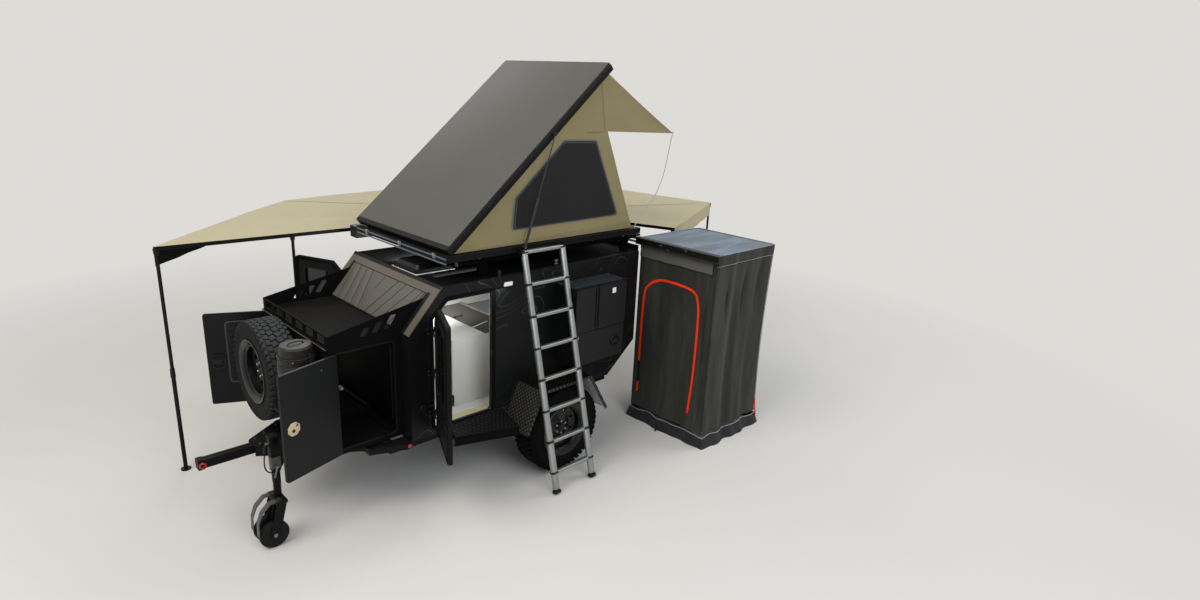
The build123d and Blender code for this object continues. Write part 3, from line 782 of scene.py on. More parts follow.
# the side box's lid in the same film, painted blue-grey all over: a painted reflection of the sky it mirrors
box_top_sky_reflection = kept(coat, "Powder coated steel, blue grey", "#222A31", 0.4, shine=0.25)
# each plate's second colour is its lozenges' painted highlight, and top is its painted shade on upward faces
dark_plate = kept(plate, "Coated tread plate, black", "#242422", 0.5, 0.0, "#747168", shine=0.1, top=0.2)
sill_plate = kept(
    plate, "Coated tread plate, sills", "#151515", 0.42, 0.0, "#4A4945", flat_x=False, shine=0.2
)
step_plate = kept(plate, "Coated tread plate, step", "#101010", 0.5, 0.0, "#42413D", shine=0.1, top=0.6)
bright_plate = kept(plate, "Aluminium tread plate, mill finish", "#DADAE6", 0.34, 0.1, "#FFFFFF")
# anodised tube, drawn along its length: pale with soft long streaks
alloy = kept(metal, "Anodised aluminium, ladder", "alloy", 0.42, along=(1, 0.25, 0.06), grain=0.004)
zinc = kept(metal, "Zinc plated steel", "#A9ABAE", 0.3)
brass = kept(metal, "Brass fitting", "#B98F4E", 0.3)
chrome_rod = kept(metal, "Chromed steel rod", "#C9CBCE", 0.16)


@kept
def glossy_rim():
    # steel rim in black enamel: deep colour with soft reflections along the steps
    made, tree, shader = start("Enamelled steel rim, black", Roughness=0.22, Specular_IOR_Level=0.3)
    place = here(tree)
    grime = mottle(tree, place, 18.0, 6.0)
    gloss = span(tree, grime, low=0.14, high=0.36)
    tint = blend(tree, grime, tone("#060607"), tone("#121213"))
    wire(tree, shader, Roughness=gloss, Base_Color=tint)
    return made


tyre_rubber = kept(
    moulded, "Tyre rubber, black", "#080809", 0.7, grain=0.006, depth=0.0005, uneven=0.25, shine=0.07
)


@kept
def spare_rubber_painted_sheen():
    # the spare's tread is painted grey as a painted highlight for its sheen, while its sidewalls stay black
    made = moulded(
        "Tyre rubber, dusty", tone("#3A3B3C"), 0.78, grain=0.006, depth=0.0005, uneven=0.3, shine=0.12
    )
    tree, shader, base = reopened(made)
    ways = facing(tree)
    size = maths(tree, "ABSOLUTE", ways["X"])
    side = span(tree, size, first=0.45, last=0.8, high=0.85)
    tint = blend(tree, side, base, tone("#0B0B0B"))
    wire(tree, shader, Base_Color=tint)
    return made


black_rubber = kept(moulded, "Black rubber seal", "#0B0B0C", 0.6, shine=0.2)
black_plastic = kept(moulded, "Moulded black nylon", "#0C0C0D", 0.45, shine=0.3)
cream_plastic = kept(moulded, "Moulded cream ABS", "#C4B493", 0.45)
white_plastic = kept(moulded, "Moulded white ABS", "#E2E2E0", 0.35)
red_paint = kept(moulded, "Red enamel", "#B3262A", 0.3)
# laminated lining board: clean white with the faintest texture
white_lining = kept(moulded, "White laminate lining", "inside", 0.5, grain=0.003, depth=0.0001, uneven=0.03)
locker_board = kept(moulded, "Light grey laminate", "locker", 0.5, grain=0.003, depth=0.0001, uneven=0.04)


@kept
def dark_glass():
    # tinted acrylic pane: mirrors the room, barely shows what is behind
    made, tree, shader = start(
        "Tinted acrylic pane", Base_Color=tone("#121416"), Roughness=0.08, IOR=1.49, Transmission_Weight=0.25
    )
    place = here(tree)
    haze = mottle(tree, place, 6.0, 3.0)
    gloss = span(tree, haze, low=0.03, high=0.12)
    wire(tree, shader, Roughness=gloss)
    return made


canvas = kept(weave, "Polycotton canvas, khaki", "canvas", uneven=0.1)


@kept
def canvas_dark():
    return weave("Polycotton canvas, hem", tinted(colours().canvas, 0.85))


# fine insect net: dark grey with a fine grid
window_net = kept(
    weave, "Insect net, charcoal", "window", 0.005, rough=0.7, sheen=0.04, uneven=0.1, shine=0.15
)
window_tape = kept(weave, "Binding tape, grey", "#606162", 0.004, rough=0.8)
binding_dark = kept(weave, "Binding tape, dark grey", "#2B2B2C", 0.004, rough=0.8, shine=0.15)
# inside the awning's valance this black is partly painted shade
black_lining = kept(weave, "Awning underside, black", "#101112", 0.006, rough=0.8, sheen=0.02, shine=0.1)
# fibreglass rod with a matt pale sleeve
canopy_wire = kept(
    moulded, "Sleeved canopy rod, pale grey", "#A9A79E", 0.6, grain=0.002, depth=0.0001, uneven=0.04
)
strut_coat = kept(coat, "Gas strut, dark grey", "#2A2B2C", 0.4, shine=0.3)
awning_cloth = kept(weave, "Ripstop awning cloth, pale khaki", "awning", 0.009, uneven=0.06)


def streaked(name, colour, crease_shading, stretch, rough, shine, depth=0.25):
    """Coated cloth that hangs or lies in soft creases: long streaks whose light and shade are painted in a
    second colour, lighter on their backs where that colour is paler.
    """
    made = weave(name, colour, 0.006, rough=rough, sheen=0.05, uneven=0.1, shine=shine)
    tree, shader, base = reopened(made)
    place = here(tree)
    pulled = add(tree, "ShaderNodeMapping", {"Vector": place, "Scale": stretch})
    lines = mottle(tree, pulled.outputs[0], 1.0, 4.0, roughness=0.55, distortion=0.6)
    share = span(tree, lines, first=0.38, last=0.66, kind="SMOOTHSTEP")
    # painted light and shade of the creases: the second colour follows the same streaks as the bump
    tint = blend(tree, share, base, paint(crease_shading))
    bump = bumped(tree, lines, 0.02, depth)
    wire(tree, shader, Base_Color=tint, Normal=bump)
    return made


# on the cubicle's walls and skirt the paler second colour is painted highlight on the backs of the creases
shower_cloth = kept(streaked, "Coated polyester, dark grey", "shower", "#353532", (9, 9, 1.1), 0.62, 0.2)
shower_skirt = kept(streaked, "Coated polyester, skirt", "#1F2023", "#2C2D30", (5, 5, 2), 0.6, 0.2)
# the flap under the case is sun-bleached
shower_flap = kept(
    weave, "Coated polyester, bleached", "#5B5A54", 0.005, rough=0.7, sheen=0.1, uneven=0.2, shine=0.2
)
pale_seam = kept(weave, "Seam piping, pale grey", "#8A8B8C", 0.003, rough=0.7)
# silver-coated roof cloth: cool, with painted shade in dull streaks where it creases
shower_roof_cloth = kept(
    streaked, "Silver coated polyester", "shower_roof", "#4C535A", (1.6, 7, 3), 0.45, 0.3, 0.12
)
zip_tape = kept(weave, "Zip tape, orange", "zip", 0.003, rough=0.7, sheen=0.0, uneven=0.05, shine=0.1)
bed_cloth = kept(weave, "Knitted mattress cover, blue-grey", "cover", 0.005, uneven=0.12)
bed_piping = kept(weave, "Piping, dark grey", "#2C3033", 0.003, rough=0.7)
# lift-up board in a dark laminate, matt with the faintest texture
board_top = kept(moulded, "Dark laminate board", "#393834", 0.55, grain=0.003, depth=0.0001, uneven=0.05)
# raw plywood edge: warm tan with fine streaks along it
edge_wood = kept(moulded, "Plywood edge, lacquered", "#7A6E5B", 0.5, grain=0.002, depth=0.0001, uneven=0.12)
pale_strip = kept(moulded, "Pale yellow floor strip", "#C9BF93", 0.55, grain=0.003, depth=0.0001, uneven=0.05)
# grey primer on the jack's fork and collar
fork_coat = kept(coat, "Primed steel, mid grey", "#4A4B4B", 0.45, shine=0.35)
# zinc passivated steel, slightly blue
handle_coat = kept(coat, "Passivated steel, blue grey", "#55636F", 0.35, shine=0.5)
lamp_lens = kept(moulded, "Clear lamp lens over white", "#F0F0EE", 0.2)


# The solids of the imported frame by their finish.
FINISHES = {
    frame_coat: (
        "chassis_frame tow_coupling jack_leg trailing_arms cabin_floor spare_carrier bottle_shelf "
        "tent_base tent_lid awning_case awning_arms awning_poles"
    ),
    black_rubber: "jack_wheels air_springs",
    black_plastic: "shock_absorbers roof_vent shower_case",
    glossy_rim: "rim_left rim_right spare_rim",
    spare_rubber_painted_sheen: "spare_tyre",
    tyre_rubber: "tyre_left tyre_right",
    dark_plate: "fenders",
    sill_plate: "sills",
    wall_coat: "side_wall_left side_wall_right",
    roof_coat: "roof_panel",
    body_coat: "front_wall rear_wall nose_door_right side_box",
    door_coat_painted_light: "rear_hatch nose_door_left box_door_front box_door_rear box_door_low",
    locker_board: "bunk",
    deck_coat: "nose_shell nose_slide deck_tray",
    panel_coat: "ribbed_panel",
    trim_coat: "trim_band",
    leaf_coat: "cabin_door_left cabin_door_right",
    dark_glass: "door_glass_left door_glass_right",
    bottle_coat: "gas_bottle",
    rack_coat: "roof_rack",
    zinc: "strut_feet",
    canvas: "tent_canvas tent_canopy",
    chrome_rod: "canopy_rods",
    strut_coat: "strut_tube_left strut_tube_right strut_rod_left strut_rod_right",
    alloy: "ladder",
    awning_cloth: "awning_fabric",
    shower_cloth: "shower_tent",
}


class Stage(bpy.types.Operator):
    """Set the camera, the pale floor and the soft studio light"""

    bl_idname = "trailer.stage"
    bl_label = "Stage"

    def execute(self, context):
        scene = context.scene
        scene.view_settings.view_transform = "Standard"
        look = Vector(CAMERA_AHEAD).normalized()
        right = Vector(CAMERA_RIGHT)
        right = (right - look * right.dot(look)).normalized()
        clear()
        bpy.ops.object.camera_add(location=CAMERA_AT)
        camera = context.object
        camera.rotation_euler = Matrix((right, right.cross(look), -look)).transposed().to_euler()
        camera.data.sensor_width = SENSOR
        camera.data.lens = SENSOR * FOCAL / PHOTO_WIDTH
        camera.data.clip_end = 200
        scene.camera = camera

        clear()
        bpy.ops.mesh.primitive_grid_add(x_subdivisions=8, y_subdivisions=8, size=160, location=(0, 0, 0))
        floor = context.object
        floor.name = "floor"
        dress(floor, self.paper(list(colours().floor)))
        floor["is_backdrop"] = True

        lamps = (
            # place, size, power, colour
            ((7.0, 1.5, 8.5), 7.0, 620, "#FFFBF4"),
            ((2.0, 9.0, 6.0), 6.0, 330, "#F4F7FF"),
            ((-7.0, 4.0, 8.0), 6.0, 320, "#FFFFFF"),
            ((-3.0, -8.0, 7.0), 6.0, 260, "#FFFFFF"),
        )
        for place, size, power, code in lamps:
            clear()
            aim = (Vector((0.4, 0.6, 1.2)) - Vector(place)).to_track_quat("-Z", "Y").to_euler()
            bpy.ops.object.light_add(type="AREA", location=place, rotation=aim)
            lamp = context.object.data
            lamp.shape = "DISK"
            lamp.size = size
            lamp.energy = power
            lamp.color = tone(code)[:3]
        for y, power, tilt in ((590, 2.6, -0.35), (-150, 18.0, -1.4)):
            clear()
            aim = Vector((0, tilt, -0.94)).to_track_quat("-Z", "Y").to_euler()
            bpy.ops.object.light_add(type="AREA", location=at(680, y, 1770), rotation=aim)
            cabin = context.object
            cabin.data.size = 0.5
            cabin.data.energy = power
            cabin.visible_camera = False

        world = bpy.data.worlds.new("studio")
        scene.world = world
        world.use_nodes = True
        tree = world.node_tree
        tree.nodes.clear()
        seen = looked_at(tree)
        soft = add(tree, "ShaderNodeBackground", {"Color": tone("#E8ECF2"), "Strength": 0.45})
        shown = add(tree, "ShaderNodeBackground", {"Color": tone("#DEDCD8"), "Strength": 1.0})
        both = add(tree, "ShaderNodeMixShader", {0: seen, 1: soft.outputs[0], 2: shown.outputs[0]})
        add(tree, "ShaderNodeOutputWorld", {"Surface": both.outputs[0]})
        return {"FINISHED"}

    def paper(self, colour):
        # seamless studio paper: matt and faintly cloudy near the trailer, and the backdrop's own tone far out
        made, tree, shader = start("Studio paper", Roughness=0.9, Specular_IOR_Level=0.1)
        place = here(tree)
        cloud = mottle(tree, place, 0.8, 4.0)
        dark = tinted(colour, 0.96)
        tint = blend(tree, cloud, dark, colour)
        wire(tree, shader, Base_Color=tint)
        away = vectors(tree, "LENGTH", place)["Value"]
        fade = span(tree, away, first=4.0, last=9.0, kind="SMOOTHSTEP")
        seen = looked_at(tree)
        share = maths(tree, "MULTIPLY", seen, fade)
        glow = add(tree, "ShaderNodeEmission", {"Color": tone("#DEDCD8"), "Strength": 1.0})
        both = add(tree, "ShaderNodeMixShader", {0: share, 1: shader.outputs[0], 2: glow.outputs[0]})
        ends = [node for node in tree.nodes if node.bl_idname == "ShaderNodeOutputMaterial"]
        tree.links.new(both.outputs[0], ends[0].inputs["Surface"])
        return made


class CoatFrame(bpy.types.Operator):
    """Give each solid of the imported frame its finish"""

    bl_idname = "trailer.coat_frame"
    bl_label = "Coat the frame"

    def execute(self, context):
        for finish, names in FINISHES.items():
            for name in names.split():
                dress(frame["nodes"][name], finish)
        return {"FINISHED"}


class Tyres(bpy.types.Operator):
    """Model one chunky tyre and copy it to both wheels and the spare"""

    bl_idname = "trailer.tyres"
    bl_label = "Tyres"

    def execute(self, context):
        middle = at(*WHEEL["left"])
        half = [
            (213, -88), (222, -99), (240, -107), (262, -114), (268, -117), (276, -115), (300, -118),
            (335, -118), (345, -120), (352, -117), (366, -112), (380, -102), (387, -90), (387, -8), (384, -5),
        ]
        profile = half + [(radius, -y) for radius, y in reversed(half)]
        parts = [turned(profile, middle, (0, 1, 0), 96)]
        count = sizes().lugs
        step = 2 * math.pi / count
        rows = (
            # Y, width, length round the tyre, skew in degrees, share of a step
            (-25, 45, 42, 24, 0.0), (25, 45, 42, 24, 0.5), (-67, 34, 41, -16, 0.35), (67, 34, 41, -16, 0.85),
            (-101, 27, 34, 6, 0.0), (101, 27, 34, 6, 0.5),
        )
        for y, wide, long, skew, share in rows:
            turn = share * step
            out = Vector((math.sin(turn), 0, math.cos(turn)))
            ahead = Vector((math.cos(turn), 0, -math.sin(turn)))
            lean = math.radians(skew)
            way = (ahead * math.cos(lean) + Vector((0, 1, 0)) * math.sin(lean)) * long / 2000
            drop = 0 if abs(y) < 90 else -5
            heart = middle + Vector((0, y / 1000, 0)) + out * (392.5 + drop) / 1000
            lug = bar(heart - way, heart + way, wide, 15, up=out)
            soften(lug, 0.0022, 1)
            parts.append(ring_of(lug, count, middle, (0, 1, 0)))
        for s in (-1, 1):
            out = Vector((math.sin(step * 0.25), 0, math.cos(step * 0.25)))
            heart = middle + Vector((0, s * 0.1125, 0)) + out * 0.371
            biter = bar(heart - out * 0.013, heart + out * 0.013, 12, 26, up=(1, 0, 0))
            soften(biter, 0.002, 1)
            parts.append(ring_of(biter, count, middle, (0, 1, 0)))
        tyre = dress(fuse(parts), tyre_rubber)
        other = copy_of(tyre)
        other.location = (0, -2 * WHEEL["left"][1] / 1000, 0)
        settle(other)
        spare = dress(copy_of(tyre), spare_rubber_painted_sheen)
        spare.matrix_world = Matrix.Translation(at(*SPARE)) @ Matrix.Rotation(
            math.radians(-90), 4, "Z"
        ) @ Matrix.Translation(-middle)
        settle(spare)
        piece(tyre, "tyre_left_tread", "wheel_left", ["tyre_left"])
        piece(other, "tyre_right_tread", "wheel_right", ["tyre_right"])
        piece(spare, "spare_tyre_tread", "trailer", ["spare_tyre"])
        return {"FINISHED"}


class WheelFittings(bpy.types.Operator):
    """Nuts, hub caps, valves and flange rings on the two road wheels' rims"""

    bl_idname = "trailer.wheel_fittings"
    bl_label = "Wheel fittings"

    def execute(self, context):
        middle = at(*WHEEL["left"])
        out = Vector((0, 1, 0))
        up = Vector((0, 0, 1))
        nut = stick(middle + up * 0.057 + out * 0.036, middle + up * 0.057 + out * 0.066, 13, 11, sides=6)
        nuts = dress(ring_of(soften(nut, 0.0015), 6, middle, out), zinc)
        cap = [(0, 30), (30, 30), (33, 34), (33, 58), (28, 66), (12, 70), (0, 71)]
        hub = dress(turned(cap, middle, out, 32), black_plastic)
        ring = dress(turned(RIM_FLANGE, middle, out, 80), glossy_rim)
        stem = dress(
            stick(middle - up * 0.176 + out * 0.028, middle - up * 0.168 + out * 0.07, 4.5, 3.5), black_rubber
        )
        left = fuse([nuts, hub, ring, stem])
        right = flipped(copy_of(left))
        piece(left, "wheel_fittings_left", "wheel_left")
        piece(right, "wheel_fittings_right", "wheel_right")
        return {"FINISHED"}


class FenderLining(bpy.types.Operator):
    """Bright tread plate under both fenders"""

    bl_idname = "trailer.fender_lining"
    bl_label = "Fender lining"

    def execute(self, context):
        arch = [Vector(p) for p in ((446, 480), (275, 834.5), (-286, 834.5), (-505, 461))]
        for name, s in SIDES:
            rows = []
            for k in range(13):
                point = along_line(arch, k / 12)
                rows.append([at(point.x, s * y, point.y) for y in (718, 800, 880, 960, 1034)])
            lining = modify(net(rows), "SOLIDIFY", thickness=0.0015, offset=0)
            dress(lining, bright_plate)
            piece(lining, "fender_lining_" + name, "trailer")
        return {"FINISHED"}


def side_point(u, v, s, sag=12):
    """A point of the tent's side wall: u from front to rear, v from the base up to the lid."""
    low = Vector((935, 2080)).lerp(Vector((-1083, 2080)), u)
    top = Vector((950, 2122)).lerp(Vector(lid_point(-2118, 46)), u)
    rear = [Vector((-1083, 2080)), Vector((-1063, 2125)), Vector((-690, 2990)), Vector(lid_point(-2118, 46))]
    point = low.lerp(top, v)
    straight = rear[0].lerp(rear[-1], v)
    point += (along_line(rear, v) - straight) * u**3
    x, z = point
    tight = math.sin(math.pi * min(1, max(0, u))) * math.sin(math.pi * min(1, max(0, v)))
    crease = ripple(x / 1000, s, z / 1000, 0.35) * 4 + ripple(x / 1000, s * 3, z / 1000, 0.12) * 1.2
    y = 702 - sag * tight**0.6 + crease * tight**0.4
    return x, y, z


def side_depth(x, z, s):
    """How far out the side wall stands at X and Z."""
    u, v = 0.5, 0.5
    for _ in range(30):
        px, _, pz = side_point(u, v, s)
        ax, _, az = side_point(u + 0.01, v, s)
        bx, _, bz = side_point(u, v + 0.01, s)
        a, b, c, d = (ax - px) * 100, (bx - px) * 100, (az - pz) * 100, (bz - pz) * 100
        det = a * d - b * c
        if abs(det) < 1e-6:
            break
        du = (d * (x - px) - b * (z - pz)) / det
        dv = (a * (z - pz) - c * (x - px)) / det
        u += max(-0.3, min(0.3, du))
        v += max(-0.3, min(0.3, dv))
    return side_point(u, v, s)[1]


class TentWalls(bpy.types.Operator):
    """Canvas walls of the roof tent, with hems, seams and net windows"""

    bl_idname = "trailer.tent_walls"
    bl_label = "Tent walls"

    def execute(self, context):
        window = [(-176, 2921), (-558, 2915), (-878, 2222), (374, 2203), (343, 2465)]
        for name, s in SIDES:

            def place(i, k):
                x, y, z = side_point(i / 64, k / 40, s)
                return at(x, s * y, z)

            wall = dress(spread(place, 64, 40), canvas)
            band = []
            for v in (0.0, 0.05):
                line = (side_point(i / 64, v, s) for i in range(65))
                band.append([at(x, s * (y + 1.5), z) for x, y, z in line])
            seam = dress(net(band), canvas_dark)
            corners = [Vector(p) for p in rounded(window, 26, 4)]
            corners.append(corners[0])
            rim = [along_line(corners, i / 150) for i in range(151)]
            heart = sum(rim[:-1], Vector((0, 0))) / 150
            netting = self.rings(rim, heart, s, [k / 14 * 0.95 for k in range(15)], 5, 3.5)
            patches = [dress(netting, window_net)]
            for a, b, lift, finish in (
                (0.94, 0.955, 3, window_tape), (0.95, 0.99, 2.5, binding_dark),
                (0.985, 1.012, 3.5, window_tape),
            ):
                patches.append(dress(self.rings(rim, heart, s, (a, (a + b) / 2, b), lift, 0), finish))
            hem = [
                at(x, s * (side_depth(x, z, s) + 2), z)
                for x, z in ((-640, 2990), (-560, 2988), (-480, 2986), (-440, 2985))
            ]
            patches.append(dress(tube(hem, 3), canvas_dark))
            whole = fuse([wall, seam, *patches])
            piece(whole, "tent_side_" + name, "trailer")
            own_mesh(whole)
        rear = [Vector((-1083, 0, 2080)), Vector((-1063, 0, 2125)), Vector((-690, 0, 2990))]
        top = Vector((lid_point(-2112, 44)[0], 0, lid_point(-2112, 44)[1]))

        def hang(i, k):
            point = along_line(rear + [top], k / 32)
            y = -701 + 1402 * i / 40
            bulge = 10 * math.sin(math.pi * i / 40) * math.sin(math.pi * k / 32)
            bulge += 5 * ripple(0, y / 1000, point.z / 1000, 0.3)
            return at(point.x + bulge, y, point.z)

        back = dress(spread(hang, 40, 32), canvas)
        front = dress(
            net([
                [at(948, y, 2121) for y in range(-700, 701, 100)],
                [at(934, y, 2080) for y in range(-700, 701, 100)],
            ]),
            canvas,
        )
        whole = fuse([back, front])
        piece(whole, "tent_rear", "trailer", ["tent_canvas"])
        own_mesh(whole)
        return {"FINISHED"}

    def rings(self, rim, heart, s, shares, lift, fold):
        """A patch on the side wall between shares of the rim, with folds fold mm deep."""
        rows = []
        for share in shares:
            ring = []
            for corner in rim:
                spot = heart.lerp(corner, share)
                swing = ripple((spot.x + spot.y) * 0.014, (spot.x - spot.y) * 0.002, s, 1)
                crease = fold * swing * min(1, (1 - share) * 6)
                ring.append(at(spot.x, s * (side_depth(spot.x, spot.y, s) + lift + crease), spot.y))
            rows.append(ring)
        return net(rows)


class Canopy(bpy.types.Operator):
    """Rear canopy of the tent with its two wings"""

    bl_idname = "trailer.canopy"
    bl_label = "Canopy"

    def execute(self, context):
        ridge = Vector(lid_point(-2130, 42))
        tip = Vector((-1598, 2969))
        foot = Vector((-702, 2994))

        def roof(i, k):
            point = ridge.lerp(tip, k / 24)
            t = i / 40
            drop = 22 * math.sin(math.pi * k / 24) ** 0.8 * (0.35 + 0.65 * math.sin(math.pi * t))
            drop += 3 * ripple(point.x / 1000, t * 1.4, 0, 0.2)
            return at(point.x, -702 + 1404 * t, point.y - drop)

        sheets = [dress(spread(roof, 40, 24), canvas)]
        for s in (-1, 1):
            rows = []
            for k in range(21):
                row = [
                    at(
                        ridge.x + 46 + (foot.x - ridge.x) * k / 20, s * 704,
                        ridge.y - 8 + (foot.y - ridge.y) * k / 20,
                    )
                ]
                for i in range(25):
                    edge = ridge.lerp(tip, i / 24)
                    low = foot.lerp(tip, i / 24)
                    point = edge.lerp(low, k / 20)
                    sag = 22 * math.sin(math.pi * i / 24) ** 0.8 * 0.35 * (1 - k / 20)
                    pull = 7 * math.sin(math.pi * i / 24) * math.sin(math.pi * k / 20)
                    swing = ripple(point.x / 1000, s, (point.x + 2 * point.y) / 1000, 0.16)
                    pull += 3 * swing * math.sin(math.pi * i / 24)
                    row.append(at(point.x, s * (702.5 - pull), point.y - sag))
                rows.append(row)
            sheets.append(dress(net(rows), canvas))
        hem = [
            at(foot.x + (tip.x - foot.x) * i / 12, 702, foot.y + (tip.y - foot.y) * i / 12) for i in range(13)
        ]
        sheets += [
            dress(tube(hem, 4), canvas_dark),
            dress(tube([Vector((p.x, 2 * MIDDLE_Y / 1000 - p.y, p.z)) for p in hem], 4), canvas_dark),
        ]
        edge = [at(tip.x, -702 + 1404 * i / 10, tip.y) for i in range(11)]
        sheets.append(dress(tube(edge, 4), canvas_dark))
        whole = fuse(sheets)
        piece(whole, "canopy_cloth", "canopy", ["tent_canopy"])
        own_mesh(whole)
        wires = []
        for s in (-1, 1):
            line = [
                (-1592, 2964), (-1575, 2930), (-1550, 2800), (-1500, 2560), (-1400, 2370), (-1250, 2230),
                (-1120, 2125), (-1118, 2074),
            ]
            wires += [
                tube([at(x, s * 712, z) for x, z in line], 4),
                tube(
                    [
                        at(-1592 + dx, s * 712, 2966 + dz)
                        for dx, dz in ((0, 0), (-9, 9), (0, 18), (9, 9), (2, 1))
                    ],
                    3,
                ),
            ]
        wires = dress(fuse(wires), canopy_wire)
        piece(wires, "canopy_wires", "trailer", ["canopy_rods"])
        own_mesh(wires)
        return {"FINISHED"}


class Awning(bpy.types.Operator):
    """Wrap-round awning cloth with its hanging edge"""

    bl_idname = "trailer.awning"
    bl_label = "Awning"

    def execute(self, context):
        edge = [Vector(p) for p in AWNING_EDGE]
        hub = Vector(PIVOT)
        angles = [math.atan2(y - hub.y, x - hub.x) % (2 * math.pi) for x, y in AWNING_ARMS]
        around, rings = 132, 18
        rim = [along_line(edge, i / around) for i in range(around + 1)]

        def sink(spot):
            a = math.atan2(spot.y - hub.y, spot.x - hub.x) % (2 * math.pi)
            near = min(abs((a - b + math.pi) % (2 * math.pi) - math.pi) for b in angles)
            return min(1, near / 0.35) ** 1.3

        rows = []
        for k in range(rings + 1):
            share = 0.015 + 0.985 * k / rings
            row = []
            for spot in rim:
                point = hub.lerp(spot, share)
                dip = sizes().sag * 1000 * sink(spot) * math.sin(math.pi * min(1, share * 0.9) ** 1.2)
                wave = 2.5 * ripple(point.x / 1000, point.y / 1000, 0, 0.5)
                row.append(at(point.x, point.y, 1988 - dip + wave * sink(spot)))
            rows.append(row)
        top = dress(net(rows), awning_cloth)
        drop = []
        for k in range(5):
            row = []
            for i, spot in enumerate(rim):
                out = (spot - hub).normalized()
                swing = 7 * math.sin(i * 1.3) * k / 4
                depth = sizes().valance * 1000 * k / 4
                base = rows[-1][i]
                row.append(base + Vector((out.x * swing, out.y * swing, -depth)) / 1000)
            drop.append(row)
        valance = dress(net(drop), awning_cloth)
        seams = []
        for ex, ey in AWNING_ARMS:
            end = Vector((ex, ey))
            line = [at(*hub.lerp(end, t / 8), 1990.5) for t in range(1, 9)]
            side = (end - hub).normalized().orthogonal() * 0.014
            lift = Vector((side.x, side.y, 0))
            seams.append(dress(net([[p - lift for p in line], [p + lift for p in line]]), awning_cloth))
        # a black sheet 3 mm inside the valance: partly the cloth's dark underside, partly painted shade on the
        # valance's inside, which lies in shadow
        lining = [
            [
                p + Vector((
                    hub.x - (p.x * 1000 - AXLE_X), hub.y - (p.y * 1000 - MIDDLE_Y), 0
                )).normalized() * 0.003
                for p in row
            ]
            for row in drop
        ]
        lining = dress(net(lining), black_lining)
        whole = fuse([top, valance, lining, *seams])
        piece(whole, "awning_cloth", "trailer", ["awning_fabric"])
        for a, b in zip(edge, edge[1:]):
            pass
        poles = []
        for x, y, z0 in ((2536, -1082, 900), (1475, -1050, 900), (-3572, -211, 900), (-1823, 622, 900)):
            poles += [
                rod((x, y, 10), (x, y, z0), 16.5, frame_coat),
                rod((x, y, z0 - 30), (x, y, z0 + 45), 20, black_plastic, 19),
                rod((x, y, 1925), (x, y, 1972), 19, black_plastic, 22),
            ]
        poles.append(rod((2536, -1055, 420), (2536, -1055, 1925), 9, frame_coat))
        piece(poles, "pole_sleeves", "trailer")
        return {"FINISHED"}


